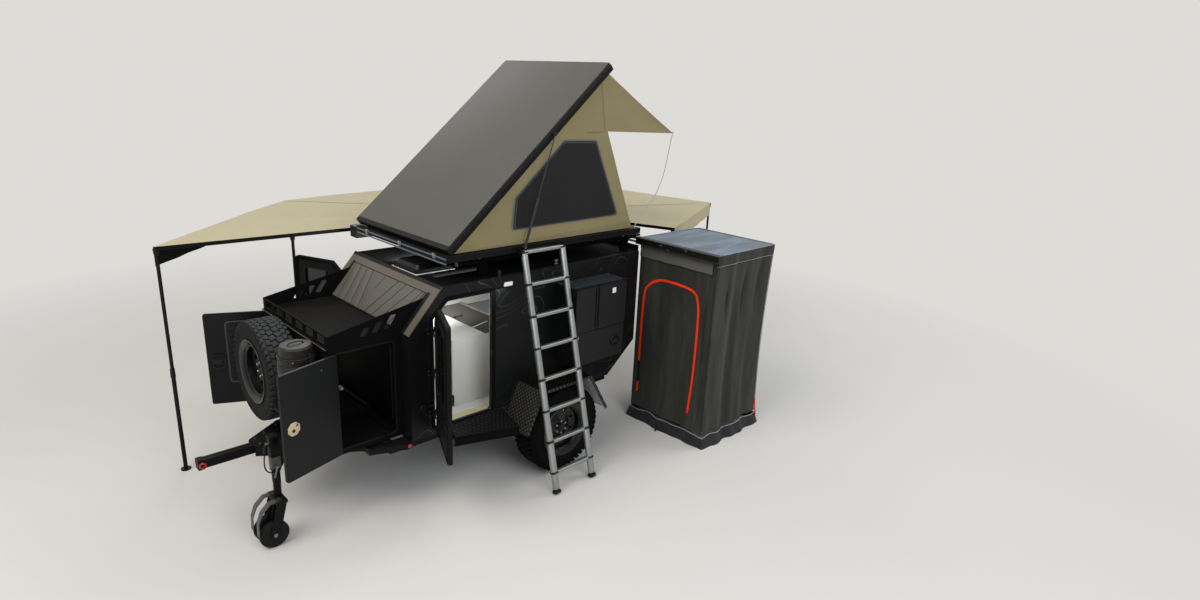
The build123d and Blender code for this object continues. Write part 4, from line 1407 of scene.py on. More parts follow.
class Shower(bpy.types.Operator):
    """Shower cubicle of hanging cloth with a zipped door, valance, flap and skirt"""

    bl_idname = "trailer.shower"
    bl_label = "Shower"

    around = 200
    corners = [Vector(p) for p in ((-1294, 655), (-1294, 1622), (-2212, 1622), (-2212, 655), (-1294, 655))]
    heart = Vector((-1753, 1140))

    def spot(self, i, z, lift=0):
        """A point of the hanging wall: i round it from the inner front corner, lift mm further out."""
        t = i / self.around
        place = along_line(self.corners, t)
        side = (t * 4) % 1
        out = (place - self.heart).normalized()
        hang = 1 - z / 1950
        open_side = 1.7 if 1 <= t * 4 < 4 else 1.0
        bend = 1.6 * ripple(t * 9, hang * 1.4, 0, 1)
        fold = math.sin(t * 67 + bend) * 9 + math.sin(t * 118 + 2 + bend * 1.7) * 6
        fold *= math.sin(math.pi * side) ** 0.7 * (0.3 + 0.7 * min(1, hang * 1.6)) * open_side
        fold -= 20 * math.sin(math.pi * side) * math.sin(math.pi * min(1, hang * 1.1))
        fold -= 26 * math.sin(math.pi * min(1, hang)) if 0.9 < t * 4 < 3.1 else 0
        if 1 < t * 4 < 2:
            for middle, top, low in ((0.235, 1640, 1380), (0.55, 1720, 1370), (0.83, 1790, 1370)):
                if low - 120 < z < top + 60:
                    depth = math.sin(math.pi * (z - low + 120) / (top - low + 180))
                    fold -= 30 * depth * math.exp(-(((side - middle) / 0.02) ** 2))
        flare = 46 * max(0, 1 - z / 165) ** 1.3
        return at(*(place + out * (fold + flare + lift - 6)), z)

    def ring(self, heights, lift, finish, start=0, stop=None):
        """Cloth round the cubicle, or along a part of it, through the given heights."""
        stop = self.around if stop is None else stop
        return dress(net([[self.spot(i, z, lift) for i in range(start, stop + 1)] for z in heights]), finish)

    def execute(self, context):
        quarter = self.around // 4
        walls = self.ring([1947 - 1807 * k / 46 for k in range(47)], 0, shower_cloth)
        rows = []
        for k in range(9):
            row = []
            for i in range(self.around + 1):
                top = 112 + 16 * ripple(i / 9, 0, 4, 1)
                row.append(self.spot(i, top * (1 - k / 8), 3))
            rows.append(row)
        skirt = dress(net(rows), shower_skirt)
        seam = tube([p + Vector((0, 0, 0.001)) for p in rows[0][:-1]], 4.5, closed=True)
        parts = [
            walls,
            skirt,
            dress(seam, pale_seam),
            self.ring((1951, 1915, 1880, 1846), 7, shower_cloth, start=quarter, stop=self.around),
        ]
        hem = [self.spot(i, 1846, 8) for i in range(quarter, self.around + 1)]
        parts.append(dress(tube(hem, 2.5), pale_seam))
        rows = []
        for k in range(7):
            low = 1886 - (1886 - 1762) * k / 6
            rows.append([
                at(
                    -1291 + 5 * k / 6 + 2.5 * ripple(y / 90, k / 3, 1, 1), y,
                    low - 9 * ripple(y / 160, 7, 2, 1) * k / 6,
                )
                for y in range(662, 1561, 28)
            ])
        parts.append(dress(net(rows), shower_flap))

        def roof(i, k):
            share = k / 14
            place = self.heart.lerp(along_line(self.corners, i / self.around), share * 0.998)
            crown = 4 * (1 - share) + 5 * ripple(place.x / 1000, place.y / 300, 0, 0.3) * (1 - share)
            return at(place.x, place.y, 1947 + crown)

        parts.append(dress(spread(roof, self.around, 14), shower_roof_cloth))
        edge = [at(*along_line(self.corners, i / 40), 1951) for i in range(40)]
        parts.append(dress(tube(edge, 4, smooth=False, closed=True), pale_seam))
        for x, y in self.corners[1:3]:
            line = [
                self.spot(quarter if x > -2000 else 2 * quarter, 1930 - 1780 * k / 12, 5) for k in range(13)
            ]
            parts.append(dress(tube(line, 3), shower_skirt))
        # Y and Z of the zip on the front wall, up one side of the door, over it and down the other
        route = [
            (736, 304), (741, 418), (737, 519), (733, 652), (731, 1041), (746, 1388), (800, 1486),
            (880, 1545), (971, 1571), (1080, 1576), (1188, 1573), (1330, 1559), (1400, 1528), (1431, 1480),
            (1456, 1353), (1462, 991), (1455, 643), (1432, 303),
        ]
        parts += [
            self.tape(route[:2], zip_tape),
            self.tape(route[1:4], black_lining),
            self.tape(route[3:], zip_tape),
        ]
        rear = [self.spot(2 * quarter, z, 6) for z in (90, 180, 270)]
        parts.append(dress(tube(rear, 7), zip_tape))
        whole = fuse(parts)
        piece(whole, "shower_cloth", "trailer", ["shower_tent"])

        bits = [rod((-1214, 1091, 2), (-1214, 1091, 60), 9, black_plastic, 7)]
        for y, z in ((963, 1930), (1272, 1938), (1055, 1902)):
            bits.append(lump(-1228.5, -1224, y - 16, y + 16, z - 7, z + 7, zinc, 1.5))
        for z in (1894, 1952):
            bits.append(lump(-1229, -1226.5, 642, 1653, z, z + 3, rim_bead, 0.5))
        bits += [
            dress(bar(at(-1262, 660, 1905), at(-1248, 380, 1905), 46, 10), frame_coat),
            dress(bar(at(-1262, 660, 1935), at(-1248, 380, 1935), 30, 8), rim_bead),
        ]
        piece(bits, "shower_fittings", "trailer")
        return {"FINISHED"}

    def tape(self, route, finish, half=13):
        """Zip tape laid along a route of Y and Z on the front wall."""
        line = [Vector(p) for p in self.smooth(route)]
        rows = ([], [])
        for k, point in enumerate(line):
            ahead = (line[min(k + 1, len(line) - 1)] - line[max(k - 1, 0)]).normalized()
            across = Vector((-ahead.y, ahead.x)) * half
            for row, place in zip(rows, (point - across, point + across)):
                share = (place.x - 655) / (1622 - 655)
                row.append(self.spot(share * self.around / 4, place.y, 6))
        return dress(net(rows), finish)

    def smooth(self, points, steps=6):
        """Points on a smooth curve through the given ones."""
        out = []
        count = len(points)
        for i in range(count - 1):
            p = [Vector(points[max(0, min(count - 1, i + k))]) for k in (-1, 0, 1, 2)]
            for k in range(steps):
                t = k / steps
                a = p[1] * 2 + (p[2] - p[0]) * t
                b = (p[0] * 2 - p[1] * 5 + p[2] * 4 - p[3]) * t * t
                c = (-p[0] + p[1] * 3 - p[2] * 3 + p[3]) * t**3
                out.append(tuple((a + b + c) / 2))
        out.append(points[-1])
        return out


class SillStep(bpy.types.Operator):
    """Tread-plate step that widens from each sill to its fender"""

    bl_idname = "trailer.sill_step"
    bl_label = "Sill step"

    def execute(self, context):
        inner = [Vector(p) for p in ((1000, 727, 640), (480, 727, 640))]
        outer = [Vector(p) for p in ((1000, 776, 552), (466, 955, 552))]
        for name, s in SIDES:
            rows = []
            for k in range(5):
                low = [a.lerp(b, k / 4) for a, b in zip(inner, outer)]
                rows.append([at(*low[0].lerp(low[1], i / 8)) for i in range(9)])
            edge = [at(*outer[0].lerp(outer[1], i / 8)) for i in range(9)]
            step = dress(modify(net(rows), "SOLIDIFY", thickness=0.003, offset=0), step_plate)
            flange = net([
                edge, [p - Vector((0, 0.004, 0.085)) for p in edge],
                [p - Vector((0, 0.03, 0.088)) for p in edge],
            ])
            step = fuse([step, dress(modify(flange, "SOLIDIFY", thickness=0.003, offset=0), deck_coat)])
            if s < 0:
                step = flipped(step)
            piece(step, "sill_step_" + name, "trailer")
        return {"FINISHED"}


class LidSkin(bpy.types.Operator):
    """Painted skin let into the top of the tent's lid, and the latches that hold its front edge down"""

    bl_idname = "trailer.lid_skin"
    bl_label = "Lid skin and latches"

    def execute(self, context):
        hx, hz = LID_PIN
        reach = TENT_Y - 5
        skin = [lump(hx - LID_LEN + 5, hx - 20, -reach, TENT_Y - 13, hz + 67.2, hz + 76, lid_skin, 1.5)]
        for z in (hz + 46, hz + 63):
            skin += [
                lump(hx - LID_LEN + 8, hx + 14, TENT_Y - 4.5, TENT_Y - 1.5, z, z + 3, rim_bead, 0.4),
                lump(hx - LID_LEN + 8, hx + 14, 1.5 - TENT_Y, 4.5 - TENT_Y, z, z + 3, rim_bead, 0.4),
                lump(hx + 15, hx + 18, 8 - TENT_Y, TENT_Y - 8, z, z + 3, rim_bead, 0.4),
            ]
        piece(carried(fuse(skin), at(hx, 0, hz), LID_ANGLE, "Y"), "lid_skin", "lid")
        catches = []
        for z in (2002, 2040):
            catches.append(lump(1020.3, 1021.8, -722, 722, z, z + 14, handle_coat, 0.4))
        for y in (-530, 27, 552):
            catches += [
                lump(1020.3, 1026, y - 20, y + 20, 2024, 2068, zinc, 1.5),
                lump(1026, 1032, y - 11, y + 11, 2030, 2063, zinc, 1.5),
                rod((1030, y - 17, 2062), (1030, y + 17, 2062), 3.5, chrome_rod),
            ]
        piece(catches, "lid_catches", "trailer")
        return {"FINISHED"}


class CabinLining(bpy.types.Operator):
    """White lining boards on the cabin's walls, roof, slope and floor"""

    bl_idname = "trailer.cabin_lining"
    bl_label = "Cabin lining"

    def execute(self, context):
        walls = (
            [(-1180, 914), (-850, 634), (583, 634), (583, 1798), (-1180, 1798)],
            [(583, 634), (1317, 634), (1317, 660), (583, 660)],
            [(1142, 660), (1317, 660), (1317, 1480), (1142, 1678), (1142, 1590)],
            [(583, 1715), (1003, 1715), (1142, 1590), (1142, 1678), (1036, 1798), (583, 1798)],
        )
        boards = []
        for _, s in SIDES:
            for wall in walls:
                boards.append(cut_out(wall, s * 679.7, -s * 2, white_lining))
        boards.append(lump(-1180, 1035, -677, 677, 1797.6, 1799.6, white_lining, 0.4))
        slope = [
            (1319.7, 634), (1319.7, 1478), (1035.7, 1799.4), (1033.4, 1797.8), (1317.7, 1476), (1317.7, 634)
        ]
        boards.append(cut_out(slope, -677, 1354, white_lining))
        ring = ((-677, 914), (677, 914), (677, 1797), (-677, 1797))
        hole = ((-560, 980), (560, 980), (560, 1750), (-560, 1750))
        rear = frame_of(
            [at(-1179.6, y, z) for y, z in ring], [at(-1179.6, y, z) for y, z in hole], (0.002, 0, 0)
        )
        boards += [
            dress(rear, white_lining),
            lump(-820, 1317, -677, 677, 630.4, 632.4, locker_board, 0.4),
            lump(118, 1150, 560, 677, 632.4, 634.4, pale_strip, 0.5),
        ]
        piece(boards, "cabin_lining", "trailer")
        panel = lump(-1215.6, -1213.6, -552, 552, 988, 1742, white_lining, 0.4)
        piece(panel, "hatch_lining", "hatch")
        return {"FINISHED"}


class Berth(bpy.types.Operator):
    """Bed base, locker with its lift-up top, and the padded mattress"""

    bl_idname = "trailer.berth"
    bl_label = "Bed and locker"

    def execute(self, context):
        base = [(-828, 633), (111, 633), (111, 998), (-1148, 998), (-1148, 905)]
        parts = [
            cut_out(base, -670, 1340, locker_board, 1.5),
            lump(118, 790, -432, 436, 633, 1244, locker_board, 3),
            lump(456, 791, -433, 437, 1244, 1249, locker_board, 1.2),
            lump(141, 454, -432, 436, 1243, 1248.5, board_top, 1.2),
            lump(112, 139, -433, 437, 1120, 1257, edge_wood, 2.5),
            dress(bar(at(452, 250, 1249.5), at(250, 190, 1249.5), 13, 3), white_plastic),
            lump(352, 368, -72, -56, 1248, 1259, black_plastic, 2),
            lump(424, 440, -72, -56, 1248, 1259, black_plastic, 2),
            lump(350, 442, -71, -57, 1257, 1264, black_plastic, 2.5),
        ]
        piece(parts, "bed_and_locker", "trailer", ["bunk"])

        x0, x1, y0, y1, z0, z1 = -1142, 104, -662, 662, 1001, 1134
        rows = []
        around = oblong(x0, x1, y0, y1, 60, 7)
        heart = Vector(((x0 + x1) / 2, 0))
        for share, z in (
            (0.0, 0), (0.93, 0), (0.985, 5), (1.0, 16), (1.006, 36), (1.006, 97), (1.0, 117), (0.985, 128),
            (0.955, 132),
        ):
            rows.append([at(*heart.lerp(Vector(p), share), z0 + z) for p in around + around[:1]])
        for share in (0.87, 0.75, 0.6, 0.45, 0.3, 0.15, 0.0):
            row = []
            for p in around + around[:1]:
                spot = heart.lerp(Vector(p), share)
                quilt = abs(math.sin(math.pi * spot.x / 210)) * abs(math.sin(math.pi * spot.y / 210))
                row.append(at(spot.x, spot.y, z1 - 1 + 5 * (1 - share) + 2 * quilt))
            rows.append(row)
        pad = close_up(net(rows))
        pad = dress(modify(pad, "SUBSURF", levels=1, render_levels=1), bed_cloth)
        piping = []
        for z, share in ((1008, 0.992), (1129, 0.99)):
            line = [at(*heart.lerp(Vector(p), share), z) for p in around]
            piping.append(dress(tube(line, 3.5, closed=True), bed_piping))
        mattress = fuse([pad, *piping])
        piece(mattress, "mattress", "trailer", ["bunk"], angle=60)
        return {"FINISHED"}


class DoorTrim(bpy.types.Operator):
    """Frames, seals, hinges and latches of the two cabin doors and their doorways"""

    bl_idname = "trailer.door_trim"
    bl_label = "Cabin door trim"

    def execute(self, context):
        px, py = DOOR_PIN
        ring = doorway(543, 1170, 645, 1750, (1017, 1603), 40)
        hole = doorway(583, 1142, 660, 1715, (1003, 1590), 28)
        way = [at(x, 708, z) for x, z in hole]
        edge = doorway(582, 1139, 655, 1720, (999, 1595), 22)
        within = doorway(606, 1115, 679, 1696, (990, 1584), 20)
        seal = doorway(666, 1079, 996, 1644, (951, 1516), 46)
        bead = doorway(684, 1061, 1014, 1626, (943, 1508), 32)
        for name, s in SIDES:
            body = "cabin_leaf_" + name
            # round the doorway: frame, seal, striker, bolt
            fixed = [
                hoop(ring, hole, 710.3, 2.4, deck_coat),
                dress(tube(way, 4.5, smooth=False, closed=True), black_rubber),
                lump(574, 586, 699, 712.8, 1146, 1212, black_plastic, 2),
                rod((597, 711, 668), (597, 713.5, 668), 7, zinc),
            ]
            for z in HINGES:
                fixed += [
                    lump(1150, 1206, 710.2, 714, z - 27, z + 27, black_plastic, 1),
                    lump(1151, 1162, 712, 740, z - 24, z + 24, black_plastic, 1.5),
                ]
                for dz in (-16, 16):
                    fixed.append(rod((1190, 713, z + dz), (1190, 716, z + dz), 5, zinc, 4, sides=12))
            port = [(0, -2), (24, -2), (24, 5), (21, 8), (14, 9), (12, 4), (0, 4)]
            fixed += [
                dress(turned(port, at(1247, 712, 869), (0, 1, 0), 32), black_plastic),
                lump(1158, 1236, 711, 722, 858, 876, black_plastic, 3),
            ]
            frame_trim = fuse(fixed)
            # on the leaf: frame, window seal outside and inside, inner latch, lock, plate
            leaf = [
                hoop(edge, within, 748, 3.4, deck_coat),
                hoop(seal, bead, 747, 5, black_rubber),
                hoop(seal, bead, 714.4, -2.6, black_rubber),
                lump(604, 634, 692, 715, 1118, 1196, black_plastic, 4),
                rod((710, 738, 950), (710, 741.5, 950), 9, zinc),
                lump(650, 770, 744.5, 747, 860, 922, black_plastic, 1.5),
            ]
            for z in HINGES:
                for dx in (-48, -22):
                    leaf.append(rod((px + dx, 752, z), (px + dx, 755, z), 4.5, zinc, 3.5, sides=12))
            leaf = fuse(leaf)
            if s < 0:
                frame_trim, leaf = flipped(frame_trim), flipped(leaf)
            piece(frame_trim, "doorway_trim_" + name, "trailer")
            carried(leaf, at(px, s * py, 0), -DOOR_OPEN[name])
            piece(leaf, "cabin_door_trim_" + name, body)
        return {"FINISHED"}


class NoseTrim(bpy.types.Operator):
    """Seals, latch plates and round latches of the nose box, its tray's rail and the deck's edge strip"""

    bl_idname = "trailer.nose_trim"
    bl_label = "Nose box trim"

    def execute(self, context):
        px, py = NOSE_PIN
        outer = oblong(1410, 1893, 664, 1446, 34)
        inner = oblong(1420, 1883, 675, 1435, 30)
        rim = oblong(1411, 1890, 659, 1449, 16)
        fold = oblong(1423, 1878, 671, 1437, 14)
        for name, s in SIDES:
            seal = [hoop(outer, inner, 594.2, 1.1, black_rubber)]
            for x in (1430, 1881):
                seal.append(lump(x - 4, x + 4, 560, 566, 780, 1410, body_coat, 1))
            seal = fuse(seal)
            leaf = [hoop(rim, fold, 597.3, -1.6, door_coat_painted_light)]
            escutcheon = [
                (-48, 20), (-20, 48), (20, 48), (48, 20), (48, -20), (20, -48), (-20, -48), (-48, -20)
            ]
            leaf.append(
                cut_out(
                    [(px - 400 + a, 1040 + b) for a, b in rounded(escutcheon, 12)], 597, -4, cream_plastic, 1
                )
            )
            raised = [(px - 400 + 0.74 * a, 1040 + 0.74 * b) for a, b in rounded(escutcheon, 12)]
            leaf += [
                cut_out(raised, 593.4, -2, cream_plastic, 0.8),
                rod((px - 406, 594, 1028), (px - 406, 590.6, 1028), 14, black_rubber, 13, sides=28),
                cut_out([(px - 386, 1052), (px - 366, 1058), (px - 374, 1076)], 592, -1.2, black_rubber),
                rod((px - 140, 597, 1380), (px - 140, 594, 1380), 6, zinc, 5, sides=12),
            ]
            leaf.extend(self.outside(px))
            leaf = fuse(leaf)
            if s < 0:
                seal, leaf = flipped(seal), flipped(leaf)
            piece(seal, "nose_seal_" + name, "trailer")
            carried(leaf, at(px, s * py, 0), -NOSE_OPEN[name])
            piece(leaf, "nose_door_trim_" + name, "nose_leaf_" + name)
        rail = [
            lump(1443, 1448, -500, 160, 738, 757, rim_bead, 1),
            lump(1448, 1474, -312, -262, 736, 762, white_plastic, 3),
            lump(1850, 1855, -500, 160, 738, 757, zinc, 1),
        ]
        piece(rail, "tray_rail", "slide_tray")
        strip = [lump(1944.3, 1946, -592, 592, 1479.5, 1488.5, trim_coat, 0.4)]
        for y in range(-560, 561, 160):
            strip.append(rod((1945, y, 1484), (1947.5, y, 1484), 4, zinc, 3, sides=12))
        piece(strip, "deck_strip", "trailer")
        return {"FINISHED"}

    def outside(self, px):
        """Slotted board and round latch on a door's outer face."""
        board = oblong(px - 332, px - 40, 842, 1386, 40)
        field = oblong(px - 322, px - 50, 852, 1376, 32)
        bits = [cut_out(field, 626, 1, door_coat_painted_light), hoop(board, field, 624, 5, rim_bead)]
        slot = slab(px - 299, px - 273, 626.6, 627.6, 868, 888)
        for count, pitch in ((6, (0.044, 0, 0)), (11, (0, 0, 0.0466))):
            modify(
                slot, "ARRAY", count=count, use_relative_offset=False, use_constant_offset=True,
                constant_offset_displace=pitch,
            )
        bits.append(dress(slot, black_rubber))
        rim = oblong(px - 453, px - 347, 979, 1101, 44)
        cup = oblong(px - 444, px - 356, 989, 1091, 36)
        bits += [
            hoop(rim, cup, 618, 17, black_plastic),
            cut_out(cup, 618, 13, deck_coat),
            lump(px - 440, px - 372, 630, 638, 1022, 1060, black_plastic, 5),
        ]
        return bits


def on_slope(s, n):
    """X and Z of a point s down the cabin's slope from the roof edge, n out from it."""
    way = Vector((300, -340)).normalized()
    return 1050 + way.x * s - way.y * n, 1830 + way.y * s + way.x * n


class Slope(bpy.types.Operator):
    """Ribbed panel on the slope, its ribs drawn together towards the deck, and the dark edges round it"""

    bl_idname = "trailer.slope"
    bl_label = "Ribbed slope"

    def execute(self, context):
        lines = (
            # Y at the top, Y at the deck
            (-578, -574), (-555, -482), (-445, -362), (-340, -240), (-235, -105),
            (190, 19), (312, 138), (450, 260), (555, 400), (578, 574),
        )
        parts = [self.strip((-586, -586), (586, 586), 97, 440, 1, 15, 0, panel_coat)]
        for left, right in zip(lines, lines[1:]):
            parts.append(self.strip(left, right, 97, 438, 12, 25, 4.5, panel_coat))
        piece(parts, "ribbed_slope", "trailer", ["ribbed_panel"])
        dark = [self.strip((-713, -713), (713, 713), -5, 25, 8.5, 10.4, 0, body_coat)]
        for side in (-1, 1):
            inner, outer = sorted((side * 592, side * 637))
            dark.append(self.strip((inner, inner), (outer, outer), 80, 455, 8.5, 10.4, 0, body_coat))
        dark.append(self.strip((-20, -47), (-14, -42), 100, 235, 24.5, 25.5, 0, frame_coat))
        piece(dark, "slope_edges", "trailer")
        return {"FINISHED"}

    def strip(self, left, right, top, low, base, face, gap, finish):
        """A raised strip on the slope between two lines, each given by Y at the top and at the deck."""
        ends = []
        for k, s in ((0, top), (1, low)):
            x, z = on_slope(s, base)
            ends.append((at(x, left[k] + gap, z), at(x, right[k] - gap, z)))
        around = [ends[0][0], ends[0][1], ends[1][1], ends[1][0]]
        lift = Vector((340, 0, 300)).normalized() * (face - base) / 1000
        return dress(soften(outline(around, lift), 0.002) if gap else outline(around, lift), finish)


class Drawbar(bpy.types.Operator):
    """Jack with its collar and fork, the coupling's red ring, markers and the plate's bolts"""

    bl_idname = "trailer.drawbar"
    bl_label = "Jack and drawbar fittings"

    def execute(self, context):
        x, y = JACK
        wheel_x, wheel_z = 2370, 105
        squares = (
            # of the jack's tube and collars: half width, foot, head, finish, softness
            (32, 714, 850, frame_coat, 4), (30, 585, 612, frame_coat, 3), (33, 610, 706, fork_coat, 5),
            (37, 849, 867, frame_coat, 5), (34, 704, 716, frame_coat, 3),
        )
        jack = [lump(x - a, x + a, y - a, y + a, z0, z1, finish, soft) for a, z0, z1, finish, soft in squares]
        profile = [(0, 366), (25, 366), (27, 372), (27, 588), (0, 588)]
        jack += [
            dress(turned(profile, at(x, y, 0), (0, 0, 1), 32), frame_coat),
            lump(x - 24, x + 24, y - 24, y + 24, 478, 606, frame_coat, 3),
            dress(bar(at(2290, 400, 597), at(2143, 196, 597), 60, 50), frame_coat),
            lump(2266, 2347, 325, 515, 344, 373, frame_coat, 4),
        ]
        plate_line = [
            (2270, 352), (2342, 352), (2407, 112), (2403, 84), (2385, 68), (2358, 66), (2336, 82), (2333, 104)
        ]
        for edge in (337, 389, 451, 503):
            jack.append(cut_out(plate_line, edge - 3, 6, frame_coat, 1))
        arm = [
            (2300, 373), (2388, 373), (2448, 318), (2478, 238), (2482, 128), (2479, 118), (2479, 122),
            (2474, 236), (2442, 312), (2384, 366), (2300, 366),
        ]
        for edge in (338, 454):
            jack.append(cut_out(arm, edge, 48, fork_coat, 1))
        for edge in (330, 496):
            jack.append(rod((wheel_x, edge, wheel_z), (wheel_x, edge + 14, wheel_z), 15, zinc, sides=6))
        jack += [
            rod((wheel_x, 330, wheel_z), (wheel_x, 510, wheel_z), 8.5, zinc),
            rod((2324, 420, 812), (2356, 420, 812), 9, zinc),
            rod((2306, 452, 640), (2306, 492, 640), 6, zinc),
            rod((2306, 484, 642), (2330, 484, 560), 7, handle_coat),
            lump(2290, 2312, 396, 444, 560, 575, zinc, 2),
        ]
        piece(jack, "jack_and_fork", "trailer", ["jack_leg"])

        wheels = []
        for y0 in (342, 457):
            tread = [(30, 0), (96, 0), (104, 6), (105.5, 14), (105.5, 27), (104, 35), (96, 41), (30, 41)]
            wheels.append(dress(turned(tread, at(wheel_x, y0, wheel_z), (0, 1, 0), 48), black_rubber))
            hub = [(12, -3), (34, -3), (36, 3), (36, 38), (34, 44), (12, 44)]
            wheels.append(dress(turned(hub, at(wheel_x, y0, wheel_z), (0, 1, 0), 32), frame_coat))
        wheels.append(
            dress(
                turned([(11.5, 41), (15, 41), (15, 115), (11.5, 115)], at(wheel_x, 342, wheel_z), (0, 1, 0), 24),
                zinc,
            )
        )
        piece(wheels, "jack_wheel_pair_rubber", "jack_wheel_pair", ["jack_wheels"])

        ring = [(14, 46.4), (22, 46.4), (25, 48), (25, 51), (22, 53), (14, 53)]
        bits = [
            dress(turned(ring, at(2675, 0, 590), (0, 1, 0), 36), red_paint),
            dress(turned(ring, at(2675, 0, 590), (0, -1, 0), 36), red_paint),
        ]
        for _, s in SIDES:
            lens = [(0, 0), (19, 0), (19, 6), (15, 10), (0, 11)]
            rim = [(18, -1), (24, -1), (24, 5), (21, 8), (18, 8)]
            spot = at(1370, s * 700.5, 572)
            bits += [
                dress(turned(lens, spot, (0, s, 0), 32), red_paint),
                dress(turned(rim, spot, (0, s, 0), 32), black_rubber),
            ]
            for bx, by in ((2060, 190), (2180, 110), (2270, 52)):
                bits.append(rod((bx, s * by, 630), (bx, s * by, 639), 11, zinc, 10, sides=6))
        plug = [
            at(2322, 448, 600), at(2346, 470, 596), at(2372, 440, 610), at(2376, 424, 655),
            at(2368, 420, 720), at(2358, 420, 776),
        ]
        bits += [
            dress(tube(plug, 5), black_rubber),
            rod((2362, 420, 742), (2357, 420, 794), 14, black_plastic, 11),
            rod((2358, 420, 790), (2332, 420, 800), 10, black_plastic, 8),
        ]
        piece(bits, "drawbar_fittings", "trailer")
        return {"FINISHED"}


class Ladder(bpy.types.Operator):
    """Telescopic ladder: flat oval rails, rungs, black collars, hooks and feet"""

    bl_idname = "trailer.ladder"
    bl_label = "Ladder"

    def execute(self, context):
        foot = Vector((0, *LADDER_FOOT))
        head = Vector((0, *LADDER_TOP))
        way = (head - foot).normalized()
        stages = ((38, 465, 31), (465, 1009, 30), (1009, 1553, 29), (1553, (head - foot).length - 2, 28))

        def place(x, along):
            point = foot + way * along
            return at(x, point.y, point.z)

        parts = []
        for x in LADDER_RAILS:
            for a, b, half in stages:
                rail = bar(place(x, a), place(x, b), 2 * half, 1.45 * half)
                parts.append(dress(soften(rail, half * 0.0006, 4), alloy))
            for along in RUNGS:
                half = [h for _, b, h in stages if along <= b + 60][0]
                collar = bar(
                    place(x, along - 13), place(x, min(along + 13, 2099)), 2 * half + 7, 1.45 * half + 8
                )
                parts.append(dress(soften(collar, 0.012, 3), black_plastic))
            cap = bar(place(x, 9), place(x, 40), 66, 50)
            parts += [
                dress(soften(cap, 0.008, 3), black_rubber),
                lump(x - 9, x + 9, 742, 802, 2022, 2042, black_plastic, 3),
            ]
            for dx in (-26, 26):
                brace = [
                    at(x + dx, 748, 2026), at(x + dx, 820, 2000), at(x + dx, 806, 2052), at(x + dx, 748, 2066)
                ]
                parts.append(dress(outline(brace, (0.004, 0, 0)), frame_coat))
        for along in RUNGS:
            rung = bar(place(LADDER_RAILS[1], along), place(LADDER_RAILS[0], along), 40, 30)
            parts.append(dress(soften(rung, 0.007, 3), alloy))
        parts.append(rod((-122, *LADDER_TOP), (352, *LADDER_TOP), 8.5, frame_coat))
        piece(parts, "ladder_rails", "ladder_body", ["ladder"])
        return {"FINISHED"}


class BoxFittings(bpy.types.Operator):
    """Plate, hinge, latch and drip edge of the side box"""

    bl_idname = "trailer.box_fittings"
    bl_label = "Side box fittings"

    def execute(self, context):
        edge = [
            lump(-774, -134, 948, 977, 1670.8, 1676, body_coat, 1),
            # this plate on the box's lid carries the painted sky reflection
            lump(-768, -140, 714, 950, 1670.2, 1672, box_top_sky_reflection, 0.5),
            lump(-774, -134, 973, 977, 1670.8, 1677, body_coat, 1),
        ]
        for x in (-760, -640, -268, -148):
            edge.append(rod((x, 740, 1670), (x, 740, 1674), 6, zinc, 5, sides=12))
        piece(edge, "box_drip_edge", "trailer")
        card = [lump(-632, -586, 970.2, 971.6, 1566, 1616, white_plastic, 0.5)]
        piece(card, "box_plate", "box_leaf_rear")
        low = []
        ring = [(50, 0), (62, 0), (64, 8), (60, 13), (52, 12)]
        low.append(dress(turned(ring, at(-651, 970, 1090), (0, 1, 0), 44), black_plastic))
        cup = [(0, 1), (50, 1), (50, 6), (42, 7), (0, 7)]
        low += [
            dress(turned(cup, at(-651, 970, 1090), (0, 1, 0), 44), deck_coat),
            lump(-690, -612, 975, 983, 1076, 1104, black_plastic, 4),
        ]
        for z0, z1, finish in ((974, 1000, zinc), (1000, 1206, black_plastic), (1206, 1232, zinc)):
            low.append(rod((-165, 977, z0), (-165, 977, z1), 7, finish))
        piece(low, "box_latch", "box_leaf_low")
        return {"FINISHED"}


class RoofFittings(bpy.types.Operator):
    """Vent flange and ribs, side lamps, brackets, rack ends and rear lamps"""

    bl_idname = "trailer.roof_fittings"
    bl_label = "Roof and lamp fittings"

    def execute(self, context):
        vent = [lump(662, 1034, -98, 298, 1830.3, 1836, white_plastic, 2)]
        for x in range(733, 733 + 7 * 39, 39):
            vent.append(lump(x - 4, x + 4, -40, 240, 1897, 1903, black_plastic, 1.5))
        piece(vent, "vent_trim", "trailer")
        lamps = []
        for _, s in SIDES:
            y = s * 710.3
            lamps.append(lump(362, 480, y, y + s * 7, 1730, 1786, black_plastic, 3))
            lens = rounded([(376, 1741), (470, 1741), (458, 1776), (372, 1776)], 12)
            lamps += [
                cut_out(lens, y + s * 4, s * 8, lamp_lens, 1.5),
                lump(488, 518, s * 676, s * 712, 1830, 1888, black_plastic, 4),
                lump(-1222, -1210.4, s * 606, s * 676, 1006, 1130, black_plastic, 2),
                lump(-1227, -1220, s * 612, s * 670, 1044, 1124, red_paint, 2.5),
                lump(-1227, -1220, s * 612, s * 670, 1012, 1040, lamp_lens, 2.5),
                lump(-190, -148, s * 640, s * 656, 1830.4, 1842, zinc, 2),
                rod((-169, s * 648, 1840), (-169, s * 648, 1868), 5, zinc),
                rod((-188, s * 648, 1866), (-150, s * 648, 1866), 5, zinc),
            ]
        piece(lamps, "lamps_and_brackets", "trailer")
        rack = []
        for y in (620, -620):
            rack += [
                lump(-1241, -1235, y - 21, y + 21, 1949, 1986, handle_coat, 2),
                lump(860, 866, y - 21, y + 21, 1949, 1986, handle_coat, 2),
            ]
            for x in (-1060, -640, -210, 240, 640):
                rack.append(rod((x, y, 1984.5), (x, y, 1990), 8, zinc, 7, sides=6))
        piece(rack, "rack_ends", "trailer")
        return {"FINISHED"}


